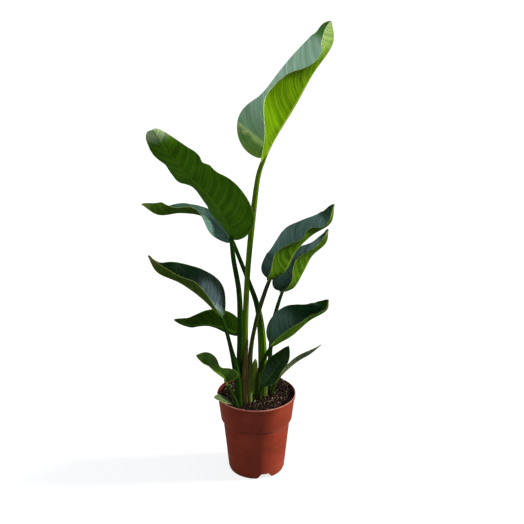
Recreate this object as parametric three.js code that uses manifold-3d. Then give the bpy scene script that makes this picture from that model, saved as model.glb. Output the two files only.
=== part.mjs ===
// A young giant white bird of paradise in its nursery pot. Millimetres, +Z up.
// The origin is on the pot's axis, at the surface it stands on. +X is the photograph's right, -Y its front.
import * as THREE from 'three';
import Module from 'manifold-3d';

const wasm = await Module();
wasm.setup();

// Driving sizes
const GAP = 0.3;
const BLADE_THICKNESS = 1.1;
const RIB_SIZE = 2.6;
const SOIL_LEVEL = 179;

// The pot from the rim down: an outward lip, a plain band, a bevel, a tapering body, a heel and a foot ring
const POT = {
  height: 187,
  wall: 2.2,
  rimRadius: 87.5,
  lipHeight: 8,
  lipStep: 2,
  bandRadius: 79.3,
  bandBottom: 127.5,
  bodyRadius: 73.7,
  bodyTop: 118.5,
  heelRadius: 63,
  heelHeight: 7,
  footRadius: 58,
  footWidth: 3,
  recess: 13,
  centreFoot: 18,
};
const NOTCH = { count: 3, bottom: 40, top: 17, height: 13, firstAngle: -72.5 };
const DRAIN_HOLES = { count: 6, radius: 5, circle: 36, sides: 16 };

// The heap of soil at the back right, which falls off towards the pot's wall, and the crumbs that roughen the top
const HEAP = { x: 44, y: 42, height: 24, spread: 19, fallsFrom: 67, leftAtWall: 0.6 };
const CRUMB_HEIGHT = 1.7;
const HOLE_GAP = GAP + 0.1;

// How finely the round things are faceted
const STALK_SIDES = 10;
const STALK_RING_SPACING = 32;
const ROUND_SEGMENTS = 40;
const SOIL_RINGS = 12;

// A bend too slight to show, in radians, used where a blade is straight across
const STRAIGHT = 0.001;

// Colours of the finishes
const FINISH = {
  blade: { color: 0x2f5a1c, roughness: 0.38, metalness: 0 },
  bladeYoung: { color: 0x5f8a1e, roughness: 0.4, metalness: 0 },
  stalk: { color: 0x33541a, roughness: 0.45, metalness: 0 },
  stalkYoung: { color: 0x55761c, roughness: 0.45, metalness: 0 },
  drySheath: { color: 0x59482a, roughness: 0.8, metalness: 0 },
  pot: { color: 0x8a4030, roughness: 0.5, metalness: 0 },
  soil: { color: 0x2c211b, roughness: 0.95, metalness: 0 },
};

// Each leaf, as it grew. rib: the midrib from base to tip. face: where the upper side looks, at the base,
// middle and tip. left and right: half-widths from base to tip, seen from above with the tip ahead.
// fold: degrees that each half rises from flat, from base to tip. curl: degrees that it bends on the way to
// its margin. full and blunt: how slowly the outline widens from the base and narrows to the tip. lobe: how
// far the margin reaches back past the base. stations: how many steps the blade is made in.
const PLAIN_LEAF = { full: 0.42, blunt: 0.7, lobe: 0, ribSize: RIB_SIZE };
const LEAVES = {
  top: {
    young: true,
    rib: [
      [15, -34, 731], [44, -31, 784], [78, -18, 838],
      [111, -3, 894], [149, -5, 953], [146, -24, 1000],
    ],
    face: [[-0.77, -0.41, 0.49], [-0.85, -0.29, 0.44], [-0.9, -0.22, 0.39]],
    left: [102, 98, 76, 66, 63, 67, 76],
    right: [87, 82, 75, 66, 63, 65, 72],
    foldLeft: [70, 60, 40, 45, 40, 45, 55],
    foldRight: [35, 45, 75, 65, 35, 45, 55],
    curlLeft: [10, 5, 10],
    curlRight: [-5, 0, -5],
    blunt: 0.6,
    lobe: 14,
    stations: 28,
  },
  upper_left: {
    rib: [
      [-49, -60, 567], [-62, -77, 617], [-93, -80, 667],
      [-133, -85, 709], [-169, -91, 758], [-196, -118, 809],
    ],
    face: [[0.39, 0.77, 0.52], [0.24, 0.86, 0.42], [0.06, 0.97, 0.27]],
    left: [75, 76, 66, 57, 49, 35, 23],
    right: [70, 69, 64, 53, 56, 48, 40],
    foldLeft: [15, 20, 20, 5, 0, 10, 20],
    foldRight: [40, 25, 30, 35, 25, 15, 10],
    curlLeft: [10, 5, 25],
    curlRight: [10, 0, 15],
    blunt: 0.35,
    lobe: 8,
    stations: 28,
  },
  arching_left: {
    rib: [
      [-49, 5, 540], [-78, 24, 569], [-116, 34, 590],
      [-159, 31, 597], [-205, 20, 596], [-242, 34, 614],
    ],
    face: [[-0.17, -0.8, 0.65], [0.15, -0.28, 0.85], [0.36, 0.44, 0.85]],
    left: [31, 36, 38, 39, 43, 47, 37],
    right: [30, 22, 18, 22, 27, 34, 36],
    foldLeft: [25, 15, 30, 45, 35, 65, 55],
    foldRight: [75, 55, 25, 15, 25, 45, 35],
    curlLeft: [5, 20, 25],
    curlRight: [20, 5, 5],
    stations: 26,
  },
  middle_left: {
    rib: [[-71, -60, 395], [-111, -54, 436], [-155, -51, 469], [-202, -61, 497], [-219, -81, 540]],
    face: [[0.37, -0.25, 0.9], [0.38, -0.2, 0.9], [0.41, -0.18, 0.9]],
    left: [46, 48, 48, 45, 44, 41],
    right: [45, 54, 49, 43, 41, 41],
    foldLeft: [35, 40, 50, 45, 55, 35],
    foldRight: [15, 40, 40, 30, 15, 20],
    curlLeft: [5, 5, 5],
    curlRight: [0, 5, -5],
    stations: 22,
  },
  low_left: {
    rib: [[-38, 12, 321], [-72, 23, 333], [-109, 29, 338], [-147, 29, 338], [-182, 33, 348]],
    face: [[-0.08, 0.94, 0.33], [-0.17, 0.88, 0.44], [-0.21, 0.82, 0.54]],
    left: [40, 40, 41, 37, 37],
    right: [39, 40, 39, 39, 38],
    foldLeft: [40, 30, 15, 0, -5],
    foldRight: [35, 25, 30, 25, 15],
    curlLeft: [20, 5, 0],
    curlRight: [5, 5, 0],
    stations: 18,
  },
  small_left: {
    rib: [[-63, -72, 247], [-71, -79, 268], [-90, -84, 284], [-107, -84, 303], [-126, -89, 320]],
    face: [[0.38, -0.63, 0.67], [0.48, -0.52, 0.7], [0.55, -0.46, 0.7]],
    left: [33, 25, 21, 21, 25, 29, 29],
    right: [46, 34, 14, 18, 27, 33, 31],
    foldLeft: [45, 35, 35, 40, 40, 25, 20],
    foldRight: [55, 45, 30, 30, 30, 25, 25],
    curlLeft: [15, 20, 5],
    curlRight: [15, 10, 5],
    lobe: -6,
    stations: 18,
  },
  over_rim: {
    rib: [[-49, -59, 187], [-60, -65, 197], [-71, -70, 206], [-80, -78, 214], [-90, -89, 221]],
    face: [[0.19, -0.48, 0.86], [0.22, -0.54, 0.81], [0.24, -0.62, 0.75]],
    left: [6, 7, 9, 10, 11],
    right: [5, 6, 7, 9, 10],
    foldLeft: [20, 15, 10, 10, 10],
    foldRight: [10, 10, 10, 10, 20],
    curlLeft: [5, 0, 5],
    curlRight: [5, 0, 5],
    full: 0.7,
    blunt: 0.6,
    ribSize: 1.2,
    stations: 12,
  },
  upper_right: {
    rib: [
      [27, -6, 458], [58, -27, 486], [81, -23, 529],
      [115, -14, 562], [153, -22, 591], [160, -36, 636],
    ],
    face: [[-0.87, -0.28, 0.41], [-0.6, -0.25, 0.72], [-0.41, -0.34, 0.86]],
    left: [70, 59, 52, 55, 52, 54, 51],
    right: [56, 53, 53, 55, 55, 54, 51],
    foldLeft: [80, 55, 35, 35, 15, 35, 50],
    foldRight: [50, 50, 65, 40, 50, 35, 30],
    curlLeft: [20, -5, 10],
    curlRight: [5, 0, -5],
    lobe: -8,
    stations: 26,
  },
  second_right: {
    rib: [[56, 38, 414], [80, 13, 434], [99, 13, 469], [118, 19, 504], [147, 21, 532], [152, 8, 567]],
    face: [[-0.51, -0.65, 0.58], [-0.6, -0.38, 0.68], [-0.69, -0.19, 0.71]],
    left: [62, 62, 52, 49, 43, 41, 39],
    right: [46, 45, 47, 47, 45, 42, 39],
    foldLeft: [90, 70, 50, 35, 5, 20, 25],
    foldRight: [50, 55, 55, 65, 45, 50, 25],
    curlLeft: [25, -5, 0],
    curlRight: [10, 5, -5],
    lobe: -8,
    stations: 24,
  },
  middle_right: {
    rib: [[32, -48, 323], [73, -52, 349], [111, -44, 380], [146, -55, 408], [150, -83, 444]],
    face: [[-0.59, -0.44, 0.69], [-0.37, -0.55, 0.72], [-0.07, -0.69, 0.72]],
    left: [64, 62, 57, 47, 44, 45],
    right: [56, 54, 51, 46, 44, 44],
    foldLeft: [55, 45, 40, 65, 45, 20],
    foldRight: [45, 60, 60, 60, 65, 45],
    curlLeft: [10, 15, 5],
    curlRight: [5, 10, 5],
    stations: 22,
  },
  low_right: {
    rib: [[12, -25, 214], [31, -19, 236], [46, -20, 262], [59, -24, 288], [70, -31, 315]],
    face: [[-0.37, -0.83, 0.43], [-0.28, -0.88, 0.38], [-0.16, -0.94, 0.3]],
    left: [16, 21, 26, 25, 24],
    right: [16, 23, 22, 26, 24],
    foldLeft: [5, 10, 10, 20, 25],
    foldRight: [25, 20, 25, 15, 15],
    curlLeft: [0, 0, 10],
    curlRight: [5, 15, 5],
    stations: 16,
  },
  narrow_right: {
    rib: [[46, 13, 215], [69, 20, 236], [94, 26, 254], [120, 26, 270], [144, 28, 290]],
    face: [[-0.4, 0.26, 0.88], [-0.4, 0.25, 0.88], [-0.41, 0.24, 0.88]],
    left: [8, 7, 9, 10, 6],
    right: [8, 6, 8, 10, 6],
    foldLeft: [60, 60, 60, 60, 60],
    foldRight: [55, 55, 55, 55, 50],
    curlLeft: [5, 5, 5],
    curlRight: [0, 5, 0],
    full: 0.6,
    blunt: 0.8,
    stations: 16,
  },
};

// Each leaf's stalk. line: from its foot in the soil to just under the blade. size: its half-widths along
// the line, across and deep.
const STALKS = {
  top: {
    line: [
      [-26, -20, 150], [-25, -21, 240], [-24, -24, 340],
      [-18, -28, 480], [-7, -31, 600], [4, -33, 690],
    ],
    size: [[6.5, 6], [6.5, 6], [6.5, 6], [5.8, 5.5], [6.2, 5.5], [5.2, 4.6]],
  },
  upper_left: {
    line: [[-39, -28, 150], [-38, -29, 240], [-34.5, -32, 340], [-35.5, -42, 440], [-46, -54, 520]],
    size: [[6.4, 6], [6.4, 6], [6.4, 6], [5.6, 5.2], [5, 4.6]],
  },
  arching_left: {
    line: [[10, 14, 150], [13.8, 12, 250], [10, 9.5, 340], [0, 8, 400], [-20, 6, 460], [-38, 5, 510]],
    size: [[7.6, 6.6], [9.8, 6.6], [8.2, 6], [5.8, 5.2], [4.8, 4.4], [4.3, 4]],
  },
  middle_left: {
    line: [[-38, -46, 150], [-39, -47.5, 215], [-44.5, -50, 270], [-54, -53, 320], [-63, -57, 362]],
    size: [[7.5, 6], [8, 6], [7.2, 5.6], [4.6, 4.2], [4, 4]],
  },
  low_left: {
    line: [[-30, -6, 150], [-31, -4, 220], [-33, 4, 290]],
    size: [[4.4, 4], [4, 3.8], [3.6, 3.4]],
  },
  small_left: {
    line: [[-40.5, -60, 165], [-43, -60.5, 190], [-54, -66, 222]],
    size: [[4.8, 4.2], [4.5, 4], [3, 2.8]],
  },
  over_rim: {
    line: [[-49, -55, 166]],
    size: [[2, 1.8]],
  },
  upper_right: {
    line: [[-15, -30, 150], [-15, -30, 230], [-12, -27, 300], [-4, -22, 350], [10, -14, 405]],
    size: [[6.2, 6], [6.2, 6], [5, 4.8], [4.4, 4.2], [4.8, 4.4]],
  },
  second_right: {
    line: [[28, 14, 150], [29, 14, 230], [31.5, 17, 290], [36, 24, 340], [46, 32, 380]],
    size: [[5.6, 5], [5.4, 4.8], [4.6, 4.4], [4.4, 4.2], [4.2, 4]],
  },
  middle_right: {
    line: [[2, -6, 150], [3, -7, 205], [7, -12, 250], [22, -33, 295]],
    size: [[5, 4.6], [4.8, 4.4], [4.4, 4], [4, 3.8]],
  },
  low_right: {
    line: [[8, -17, 150], [8, -19, 185]],
    size: [[4.2, 4], [3.8, 3.6]],
  },
  narrow_right: {
    line: [[31, -1, 150], [34, 2, 185]],
    size: [[6, 5], [4.2, 3.8]],
  },
};

// Leaf bases left from older leaves, and the rolled tip of a leaf still to come
const SHEATHS = {
  sheath_dry: {
    line: [[-25, -38, 150], [-26, -38.5, 195], [-25.5, -38, 240], [-22.5, -37.5, 285], [-17.5, -36, 332]],
    size: [[6, 5], [6.4, 4.8], [6.2, 4.2], [4.6, 3.2], [0.9, 0.8]],
    finish: FINISH.drySheath,
  },
  sheath_rounded: {
    line: [[-6, 3, 150], [-5.5, 3, 200], [-3.6, 2.5, 244], [-2.8, 2.3, 258], [-2, 2, 267]],
    size: [[5.4, 4.8], [6, 4.8], [6.3, 4.4], [5.2, 3.4], [1.8, 1.3]],
    finish: FINISH.stalk,
  },
  rolled_shoot: {
    line: [[17.5, -6, 150], [18.5, -5, 190], [22, -2, 220], [26.5, 2, 242]],
    size: [[5.6, 5], [5.4, 4.8], [3.4, 3.2], [0.8, 0.8]],
    finish: FINISH.stalkYoung,
  },
};

// Small helpers

const vector = (p) => new THREE.Vector3(...p);

const radians = THREE.MathUtils.degToRad;

// A smooth pass through evenly spaced values, each a number or a list of numbers
function along(values, t) {
  if (Array.isArray(values[0])) {
    return values[0].map((_, k) => along(values.map((v) => v[k]), t));
  }
  const last = values.length - 1;
  const place = Math.min(Math.max(t, 0), 1) * last;
  const i = Math.min(Math.floor(place), last - 1);
  const w = place - i;
  const [b, c] = [values[i], values[i + 1]];
  const before = i > 0 ? values[i - 1] : 2 * b - c;
  const after = i + 2 <= last ? values[i + 2] : 2 * c - b;
  const [rise, fall] = [(c - before) / 2, (after - b) / 2];
  return (2 * w ** 3 - 3 * w ** 2 + 1) * b + (w ** 3 - 2 * w ** 2 + w) * rise
    + (3 * w ** 2 - 2 * w ** 3) * c + (w ** 3 - w ** 2) * fall;
}

function seededRandom(seed) {
  let state = seed;
  return () => {
    state = (state * 1664525 + 1013904223) % 4294967296;
    return state / 4294967296;
  };
}

function mesh(name, geometry, finish) {
  geometry.computeVertexNormals();
  const made = new THREE.Mesh(geometry, new THREE.MeshStandardMaterial(finish));
  made.name = name;
  return made;
}

const flat = (points) => points.flatMap((p) => p.toArray());

function geometryFrom({ points, faces }) {
  const geometry = new THREE.BufferGeometry();
  geometry.setAttribute('position', new THREE.Float32BufferAttribute(flat(points), 3));
  geometry.setIndex(faces.flat());
  return geometry;
}

function solidFrom({ points, faces }) {
  return new wasm.Manifold(new wasm.Mesh({
    numProp: 3,
    vertProperties: new Float32Array(flat(points)),
    triVerts: new Uint32Array(faces.flat()),
  }));
}

function geometryFromSolid(solid) {
  const cut = solid.getMesh();
  const geometry = new THREE.BufferGeometry();
  geometry.setAttribute('position', new THREE.BufferAttribute(new Float32Array(cut.vertProperties), 3));
  geometry.setIndex(new THREE.BufferAttribute(new Uint32Array(cut.triVerts), 1));
  return geometry;
}

// Blades

// The midrib's place, its heading, the side that the upper face looks to, and the right-hand side
function ribFrame(leaf, t) {
  const step = 0.001;
  const place = vector(along(leaf.rib, t));
  const heading = vector(along(leaf.rib, Math.min(t + step, 1)))
    .sub(vector(along(leaf.rib, Math.max(t - step, 0)))).normalize();
  const face = vector(along(leaf.face, t));
  const up = face.addScaledVector(heading, -face.dot(heading)).normalize();
  const right = new THREE.Vector3().crossVectors(heading, up);
  return { place, heading, up, right };
}

// Half-width of the thickened rib under the blade, and how far it stands out there, narrowing to the tip
const ribHalf = (leaf, t) => BLADE_THICKNESS / 2 + leaf.ribSize * (1 - t) ** 0.8;
const ribDepth = (leaf, t) => 0.8 * BLADE_THICKNESS + 1.3 * leaf.ribSize * (1 - t) ** 0.9;

// A leaf's outline: 0 at the base and the tip and 1 where it is widest
function outline(leaf, t) {
  const { full, blunt } = leaf;
  const widest = full / (full + blunt);
  return (t ** full * (1 - t) ** blunt) / (widest ** full * (1 - widest) ** blunt);
}

function halfWidth(leaf, side, t) {
  return Math.max(outline(leaf, t) * along(leaf[side], t), 1.25 * ribHalf(leaf, t));
}

// A point of the blade's middle surface: across runs from 0 at the rib to 1 at the margin
function bladePoint(leaf, frame, t, side, across) {
  const name = side < 0 ? 'Left' : 'Right';
  const width = halfWidth(leaf, name.toLowerCase(), t);
  const fold = radians(along(leaf[`fold${name}`], t));
  const bend = radians(along(leaf[`curl${name}`], t));
  const curl = Math.abs(bend) < STRAIGHT ? STRAIGHT : bend;
  const out = (width / curl) * (Math.sin(fold + curl * across) - Math.sin(fold));
  const rise = (width / curl) * (Math.cos(fold) - Math.cos(fold + curl * across));
  const back = leaf.lobe * across ** 1.5 * outline(leaf, t) ** 0.5 * (1 - t) ** 6;
  return frame.place.clone()
    .addScaledVector(frame.right, side * out)
    .addScaledVector(frame.up, rise)
    .addScaledVector(frame.heading, -back);
}

// The middle surface's normal, on the upper side
function bladeNormal(leaf, t, side, across) {
  const step = 0.002;
  const sideStep = 0.02;
  const [t0, t1] = [Math.max(t - step, 0), Math.min(t + step, 1)];
  const [a0, a1] = [across - sideStep, Math.min(across + sideStep, 1)];
  const here = ribFrame(leaf, t);
  const forward = bladePoint(leaf, ribFrame(leaf, t1), t1, side, across)
    .sub(bladePoint(leaf, ribFrame(leaf, t0), t0, side, across));
  const outward = bladePoint(leaf, here, t, side, a1).sub(bladePoint(leaf, here, t, side, a0));
  return outward.multiplyScalar(side).cross(forward).normalize();
}

// At the crease between the two halves: the direction that splits the fold evenly, and the reach along it
function crease(leaf, frame, t, half) {
  const sharpest = 0.5;
  const [left, right] = [radians(along(leaf.foldLeft, t)), radians(along(leaf.foldRight, t))];
  const opening = Math.max(Math.PI - left - right, sharpest);
  const lean = (left - right) / 2;
  const split = frame.up.clone().multiplyScalar(Math.cos(lean))
    .addScaledVector(frame.right, Math.sin(lean));
  return { split, reach: half / Math.sin(opening / 2) };
}

// One blade: a thin closed sheet, its rib thickened underneath, split into triangles alike on both faces.
// Where it trims its stalk it is grown by a margin on both faces and at its base.
function blade(leaf, grow = 0) {
  const half = BLADE_THICKNESS / 2 + grow;
  const top = [];
  const under = [];
  const columns = [-3, -2, -1, 0, 1, 2, 3];
  const halfway = 0.55;
  const widestRib = 0.6;
  for (let i = 0; i <= leaf.stations; i += 1) {
    const t = (1 - Math.cos((Math.PI * i) / leaf.stations)) / 2;
    const frame = ribFrame(leaf, t);
    if (i === 0) frame.place.addScaledVector(frame.heading, -grow);
    const { split, reach } = crease(leaf, frame, t, half);
    const topRow = [];
    const underRow = [];
    for (const column of columns) {
      const side = Math.sign(column);
      if (side === 0) {
        topRow.push(frame.place.clone().addScaledVector(split, reach));
        underRow.push(frame.place.clone().addScaledVector(split, -ribDepth(leaf, t) - grow));
        continue;
      }
      const width = halfWidth(leaf, side < 0 ? 'left' : 'right', t);
      const ribShare = Math.min(ribHalf(leaf, t) / width, widestRib);
      const across = [ribShare, halfway + (1 - halfway) * ribShare, 1][Math.abs(column) - 1];
      const middle = bladePoint(leaf, frame, t, side, across);
      const normal = bladeNormal(leaf, t, side, across);
      topRow.push(middle.clone().addScaledVector(normal, half));
      underRow.push(middle.clone().addScaledVector(normal, -half));
    }
    top.push(topRow);
    under.push(underRow);
  }
  return closedSheet(top, under);
}

function closedSheet(top, under) {
  const rows = top.length;
  const columns = top[0].length;
  const points = [...top.flat(), ...under.flat()];
  const topAt = (i, j) => i * columns + j;
  const underAt = (i, j) => rows * columns + i * columns + j;
  const faces = [];
  const quad = (a, b, c, d) => faces.push([a, b, c], [a, c, d]);
  for (let i = 0; i < rows - 1; i += 1) {
    for (let j = 0; j < columns - 1; j += 1) {
      quad(topAt(i, j), topAt(i, j + 1), topAt(i + 1, j + 1), topAt(i + 1, j));
      faces.push([underAt(i, j), underAt(i + 1, j + 1), underAt(i, j + 1)]);
      faces.push([underAt(i, j), underAt(i + 1, j), underAt(i + 1, j + 1)]);
    }
    quad(topAt(i, 0), topAt(i + 1, 0), underAt(i + 1, 0), underAt(i, 0));
    const last = columns - 1;
    quad(topAt(i, last), underAt(i, last), underAt(i + 1, last), topAt(i + 1, last));
  }
  for (let j = 0; j < columns - 1; j += 1) {
    const end = rows - 1;
    quad(topAt(0, j), underAt(0, j), underAt(0, j + 1), topAt(0, j + 1));
    quad(topAt(end, j), topAt(end, j + 1), underAt(end, j + 1), underAt(end, j));
  }
  return { points, faces };
}

// Stalks and sheaths

// A closed tube of oval rings along a smooth line, grown outward by a margin where it cuts a hole
function ovalTube(line, size, grow = 0) {
  const curve = new THREE.CatmullRomCurve3(line.map(vector), false, 'catmullrom', 0.5);
  const fewestRings = 5;
  const rings = Math.max(fewestRings, Math.round(curve.getLength() / STALK_RING_SPACING));
  const points = [];
  const faces = [];
  for (let i = 0; i <= rings; i += 1) {
    const t = i / rings;
    const heading = curve.getTangent(t);
    const across = new THREE.Vector3(0, 1, 0).cross(heading).normalize();
    const deep = new THREE.Vector3().crossVectors(heading, across);
    const centre = curve.getPoint(t);
    const [halfAcross, halfDeep] = along(size, t).map((v) => v + grow);
    for (let k = 0; k < STALK_SIDES; k += 1) {
      const turn = (2 * Math.PI * k) / STALK_SIDES;
      points.push(centre.clone()
        .addScaledVector(across, halfAcross * Math.cos(turn))
        .addScaledVector(deep, halfDeep * Math.sin(turn)));
    }
  }
  const at = (i, k) => i * STALK_SIDES + (k % STALK_SIDES);
  for (let i = 0; i < rings; i += 1) {
    for (let k = 0; k < STALK_SIDES; k += 1) {
      faces.push([at(i, k), at(i, k + 1), at(i + 1, k + 1)]);
      faces.push([at(i, k), at(i + 1, k + 1), at(i + 1, k)]);
    }
  }
  for (let k = 1; k < STALK_SIDES - 1; k += 1) {
    faces.push([at(0, 0), at(0, k + 1), at(0, k)], [at(rings, 0), at(rings, k), at(rings, k + 1)]);
  }
  return { points, faces };
}

// The stalk's line runs on to the rib under the blade's base, and it narrows a little there
function seated(leaf, { line, size }) {
  const depthShare = 0.45;
  const taper = 0.85;
  const { place, up } = ribFrame(leaf, 0);
  const seat = place.clone().addScaledVector(up, -depthShare * ribDepth(leaf, 0));
  return {
    line: [...line, seat.toArray()],
    size: [...size, size[size.length - 1].map((v) => v * taper)],
  };
}

// The stalk stops a gap short of the blade: what the thickened blade cuts off beyond it is dropped
function stalk(leaf, { line, size }) {
  const trimmed = solidFrom(ovalTube(line, size)).subtract(solidFrom(blade(leaf, GAP)));
  const bodies = trimmed.decompose();
  return bodies.reduce((a, b) => (b.volume() > a.volume() ? b : a));
}

// Pot

// Inner radii, just under the lip and at the floor
const innerRim = () => POT.rimRadius - POT.lipStep - 2;
const floorRadius = () => POT.footRadius + 2.6;

// The section of the pot, as radius and height, from the axis underneath round to the axis inside
function potProfile() {
  const { height, wall, rimRadius, bandRadius, bodyRadius, footRadius, recess, centreFoot } = POT;
  const floor = recess + wall;
  const beneath = [
    [0, 0], [centreFoot, 0], [centreFoot + 1.8, recess],
    [footRadius - POT.footWidth - 0.4, recess], [footRadius - POT.footWidth, 0],
  ];
  const outside = [
    [footRadius, 0], [footRadius + 3, 1.6], [POT.heelRadius, POT.heelHeight],
    [bodyRadius, POT.bodyTop], [bandRadius, POT.bandBottom],
    [rimRadius - POT.lipStep, height - POT.lipHeight], [rimRadius - 0.2, height - POT.lipHeight + 1],
    [rimRadius, height - 1], [rimRadius - 0.6, height],
  ];
  const inside = [
    [rimRadius - POT.lipStep - 0.6, height], [innerRim(), height - POT.lipHeight - 1],
    [bandRadius - wall, POT.bandBottom + 0.5], [bodyRadius - wall, POT.bodyTop + 0.5],
    [floorRadius(), floor], [centreFoot + 4, floor], [centreFoot + 0.5, wall], [0, wall],
  ];
  return [...beneath, ...outside, ...inside];
}

// Turns a profile that starts and ends on the axis into a closed solid
function turned(profile, segments) {
  const points = [];
  const ringOf = profile.map(([r, z]) => {
    const start = points.length;
    const count = r === 0 ? 1 : segments;
    for (let k = 0; k < count; k += 1) {
      const turn = (2 * Math.PI * k) / segments;
      points.push(new THREE.Vector3(r * Math.cos(turn), r * Math.sin(turn), z));
    }
    return (k) => start + (count === 1 ? 0 : k % segments);
  });
  const faces = [];
  for (let i = 0; i < profile.length - 1; i += 1) {
    for (let k = 0; k < segments; k += 1) {
      const [a, b, c, d] = [ringOf[i](k), ringOf[i](k + 1), ringOf[i + 1](k + 1), ringOf[i + 1](k)];
      if (a !== b) faces.push([a, b, c]);
      if (c !== d) faces.push([a, c, d]);
    }
  }
  return { points, faces };
}

// A straight-sided block between a bottom and a top outline that have the same number of corners
function prism(bottom, top) {
  const n = bottom.length;
  const faces = [];
  for (let k = 0; k < n; k += 1) {
    const next = (k + 1) % n;
    faces.push([k, next, n + next], [k, n + next, n + k]);
  }
  for (let k = 1; k < n - 1; k += 1) {
    faces.push([0, k + 1, k], [n, n + k, n + k + 1]);
  }
  return { points: [...bottom, ...top], faces };
}

// A drainage notch through the foot ring, wider at the bottom, at an angle round the pot
function notch(angle) {
  const turn = (p) => p.applyAxisAngle(new THREE.Vector3(0, 0, 1), radians(angle));
  const section = (radius, low, high) => [
    [radius, -NOTCH.bottom / 2, low], [radius, NOTCH.bottom / 2, low],
    [radius, NOTCH.top / 2, high], [radius, -NOTCH.top / 2, high],
  ].map((p) => turn(vector(p)));
  const [inner, outer] = [POT.footRadius - 8, POT.footRadius + 12];
  return prism(section(inner, -2, NOTCH.height), section(outer, -2, NOTCH.height));
}

function drainHole(angle) {
  const { radius, circle, sides } = DRAIN_HOLES;
  const centre = new THREE.Vector3(circle * Math.cos(angle), circle * Math.sin(angle), 0);
  const ring = (z) => Array.from({ length: sides }, (_, k) => {
    const turn = (2 * Math.PI * k) / sides;
    return new THREE.Vector3(centre.x + radius * Math.cos(turn), centre.y + radius * Math.sin(turn), z);
  });
  return prism(ring(POT.recess - 2), ring(POT.recess + POT.wall + 2));
}

function pot() {
  let body = solidFrom(turned(potProfile(), ROUND_SEGMENTS));
  for (let k = 0; k < NOTCH.count; k += 1) {
    body = body.subtract(solidFrom(notch(NOTCH.firstAngle + (360 * k) / NOTCH.count)));
  }
  for (let k = 0; k < DRAIN_HOLES.count; k += 1) {
    body = body.subtract(solidFrom(drainHole((2 * Math.PI * (k + 0.5)) / DRAIN_HOLES.count)));
  }
  return geometryFromSolid(body);
}

// Soil

function soilHeight(x, y) {
  const { height, spread, fallsFrom, leftAtWall } = HEAP;
  const away = (x - HEAP.x) ** 2 + (y - HEAP.y) ** 2;
  const fallen = THREE.MathUtils.smoothstep(Math.hypot(x, y), fallsFrom, innerRim());
  return SOIL_LEVEL + height * Math.exp(-away / (2 * spread ** 2)) * (1 - (1 - leftAtWall) * fallen);
}

// The soil fills the pot: a crumbly top, sides along the pot's wall, and an underside on the pot's floor
function soilBody() {
  const random = seededRandom(11);
  const { wall, centreFoot } = POT;
  const floor = POT.recess + wall + HOLE_GAP;
  const points = [new THREE.Vector3(0, 0, soilHeight(0, 0))];
  const rings = [];
  for (let i = 1; i <= SOIL_RINGS; i += 1) {
    const radius = ((innerRim() - HOLE_GAP) * i) / SOIL_RINGS;
    rings.push({ radius, height: (x, y) => soilHeight(x, y) + CRUMB_HEIGHT * (2 * random() - 1) });
  }
  const sides = [
    [POT.bandRadius - wall - HOLE_GAP, POT.bandBottom], [POT.bodyRadius - wall - HOLE_GAP, POT.bodyTop],
    [floorRadius() - HOLE_GAP, floor], [centreFoot + 4, floor],
    [centreFoot + 0.5 - HOLE_GAP, wall + HOLE_GAP],
  ];
  for (const [radius, z] of sides) {
    rings.push({ radius, height: () => z });
  }
  for (const { radius, height } of rings) {
    for (let k = 0; k < ROUND_SEGMENTS; k += 1) {
      const turn = (2 * Math.PI * k) / ROUND_SEGMENTS;
      const [x, y] = [radius * Math.cos(turn), radius * Math.sin(turn)];
      points.push(new THREE.Vector3(x, y, height(x, y)));
    }
  }
  const at = (i, k) => 1 + i * ROUND_SEGMENTS + (k % ROUND_SEGMENTS);
  const bottom = points.push(new THREE.Vector3(0, 0, wall + HOLE_GAP)) - 1;
  const faces = [];
  for (let k = 0; k < ROUND_SEGMENTS; k += 1) {
    faces.push([0, at(0, k), at(0, k + 1)]);
    for (let i = 0; i < rings.length - 1; i += 1) {
      faces.push([at(i, k), at(i + 1, k), at(i + 1, k + 1)]);
      faces.push([at(i, k), at(i + 1, k + 1), at(i, k + 1)]);
    }
    faces.push([bottom, at(rings.length - 1, k + 1), at(rings.length - 1, k)]);
  }
  return { points, faces };
}

// A plain hole for each stalk and sheath, a gap wider than it and a little deeper
function soil(standing) {
  let body = solidFrom(soilBody());
  for (const { line, size } of standing) {
    const [x, y, z] = line[0];
    const hole = ovalTube([[x, y, z - 2 * GAP], ...line.slice(1)], size, HOLE_GAP);
    body = body.subtract(solidFrom(hole));
  }
  return geometryFromSolid(body);
}

// The whole plant

const plant = new THREE.Group();
const standing = Object.values(SHEATHS);

for (const [name, values] of Object.entries(LEAVES)) {
  const leaf = { ...PLAIN_LEAF, ...values };
  const stem = seated(leaf, STALKS[name]);
  standing.push(stem);
  const finishes = leaf.young ? [FINISH.bladeYoung, FINISH.stalkYoung] : [FINISH.blade, FINISH.stalk];
  plant.add(mesh(`leaf_${name}`, geometryFrom(blade(leaf)), finishes[0]));
  plant.add(mesh(`stalk_${name}`, geometryFromSolid(stalk(leaf, stem)), finishes[1]));
}
for (const [name, { line, size, finish }] of Object.entries(SHEATHS)) {
  plant.add(mesh(name, geometryFrom(ovalTube(line, size)), finish));
}
plant.add(mesh('pot', pot(), FINISH.pot));
plant.add(mesh('soil', soil(standing), FINISH.soil));

export default plant;
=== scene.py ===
import math
import random

import bpy
import numpy as np
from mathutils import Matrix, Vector, noise


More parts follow.
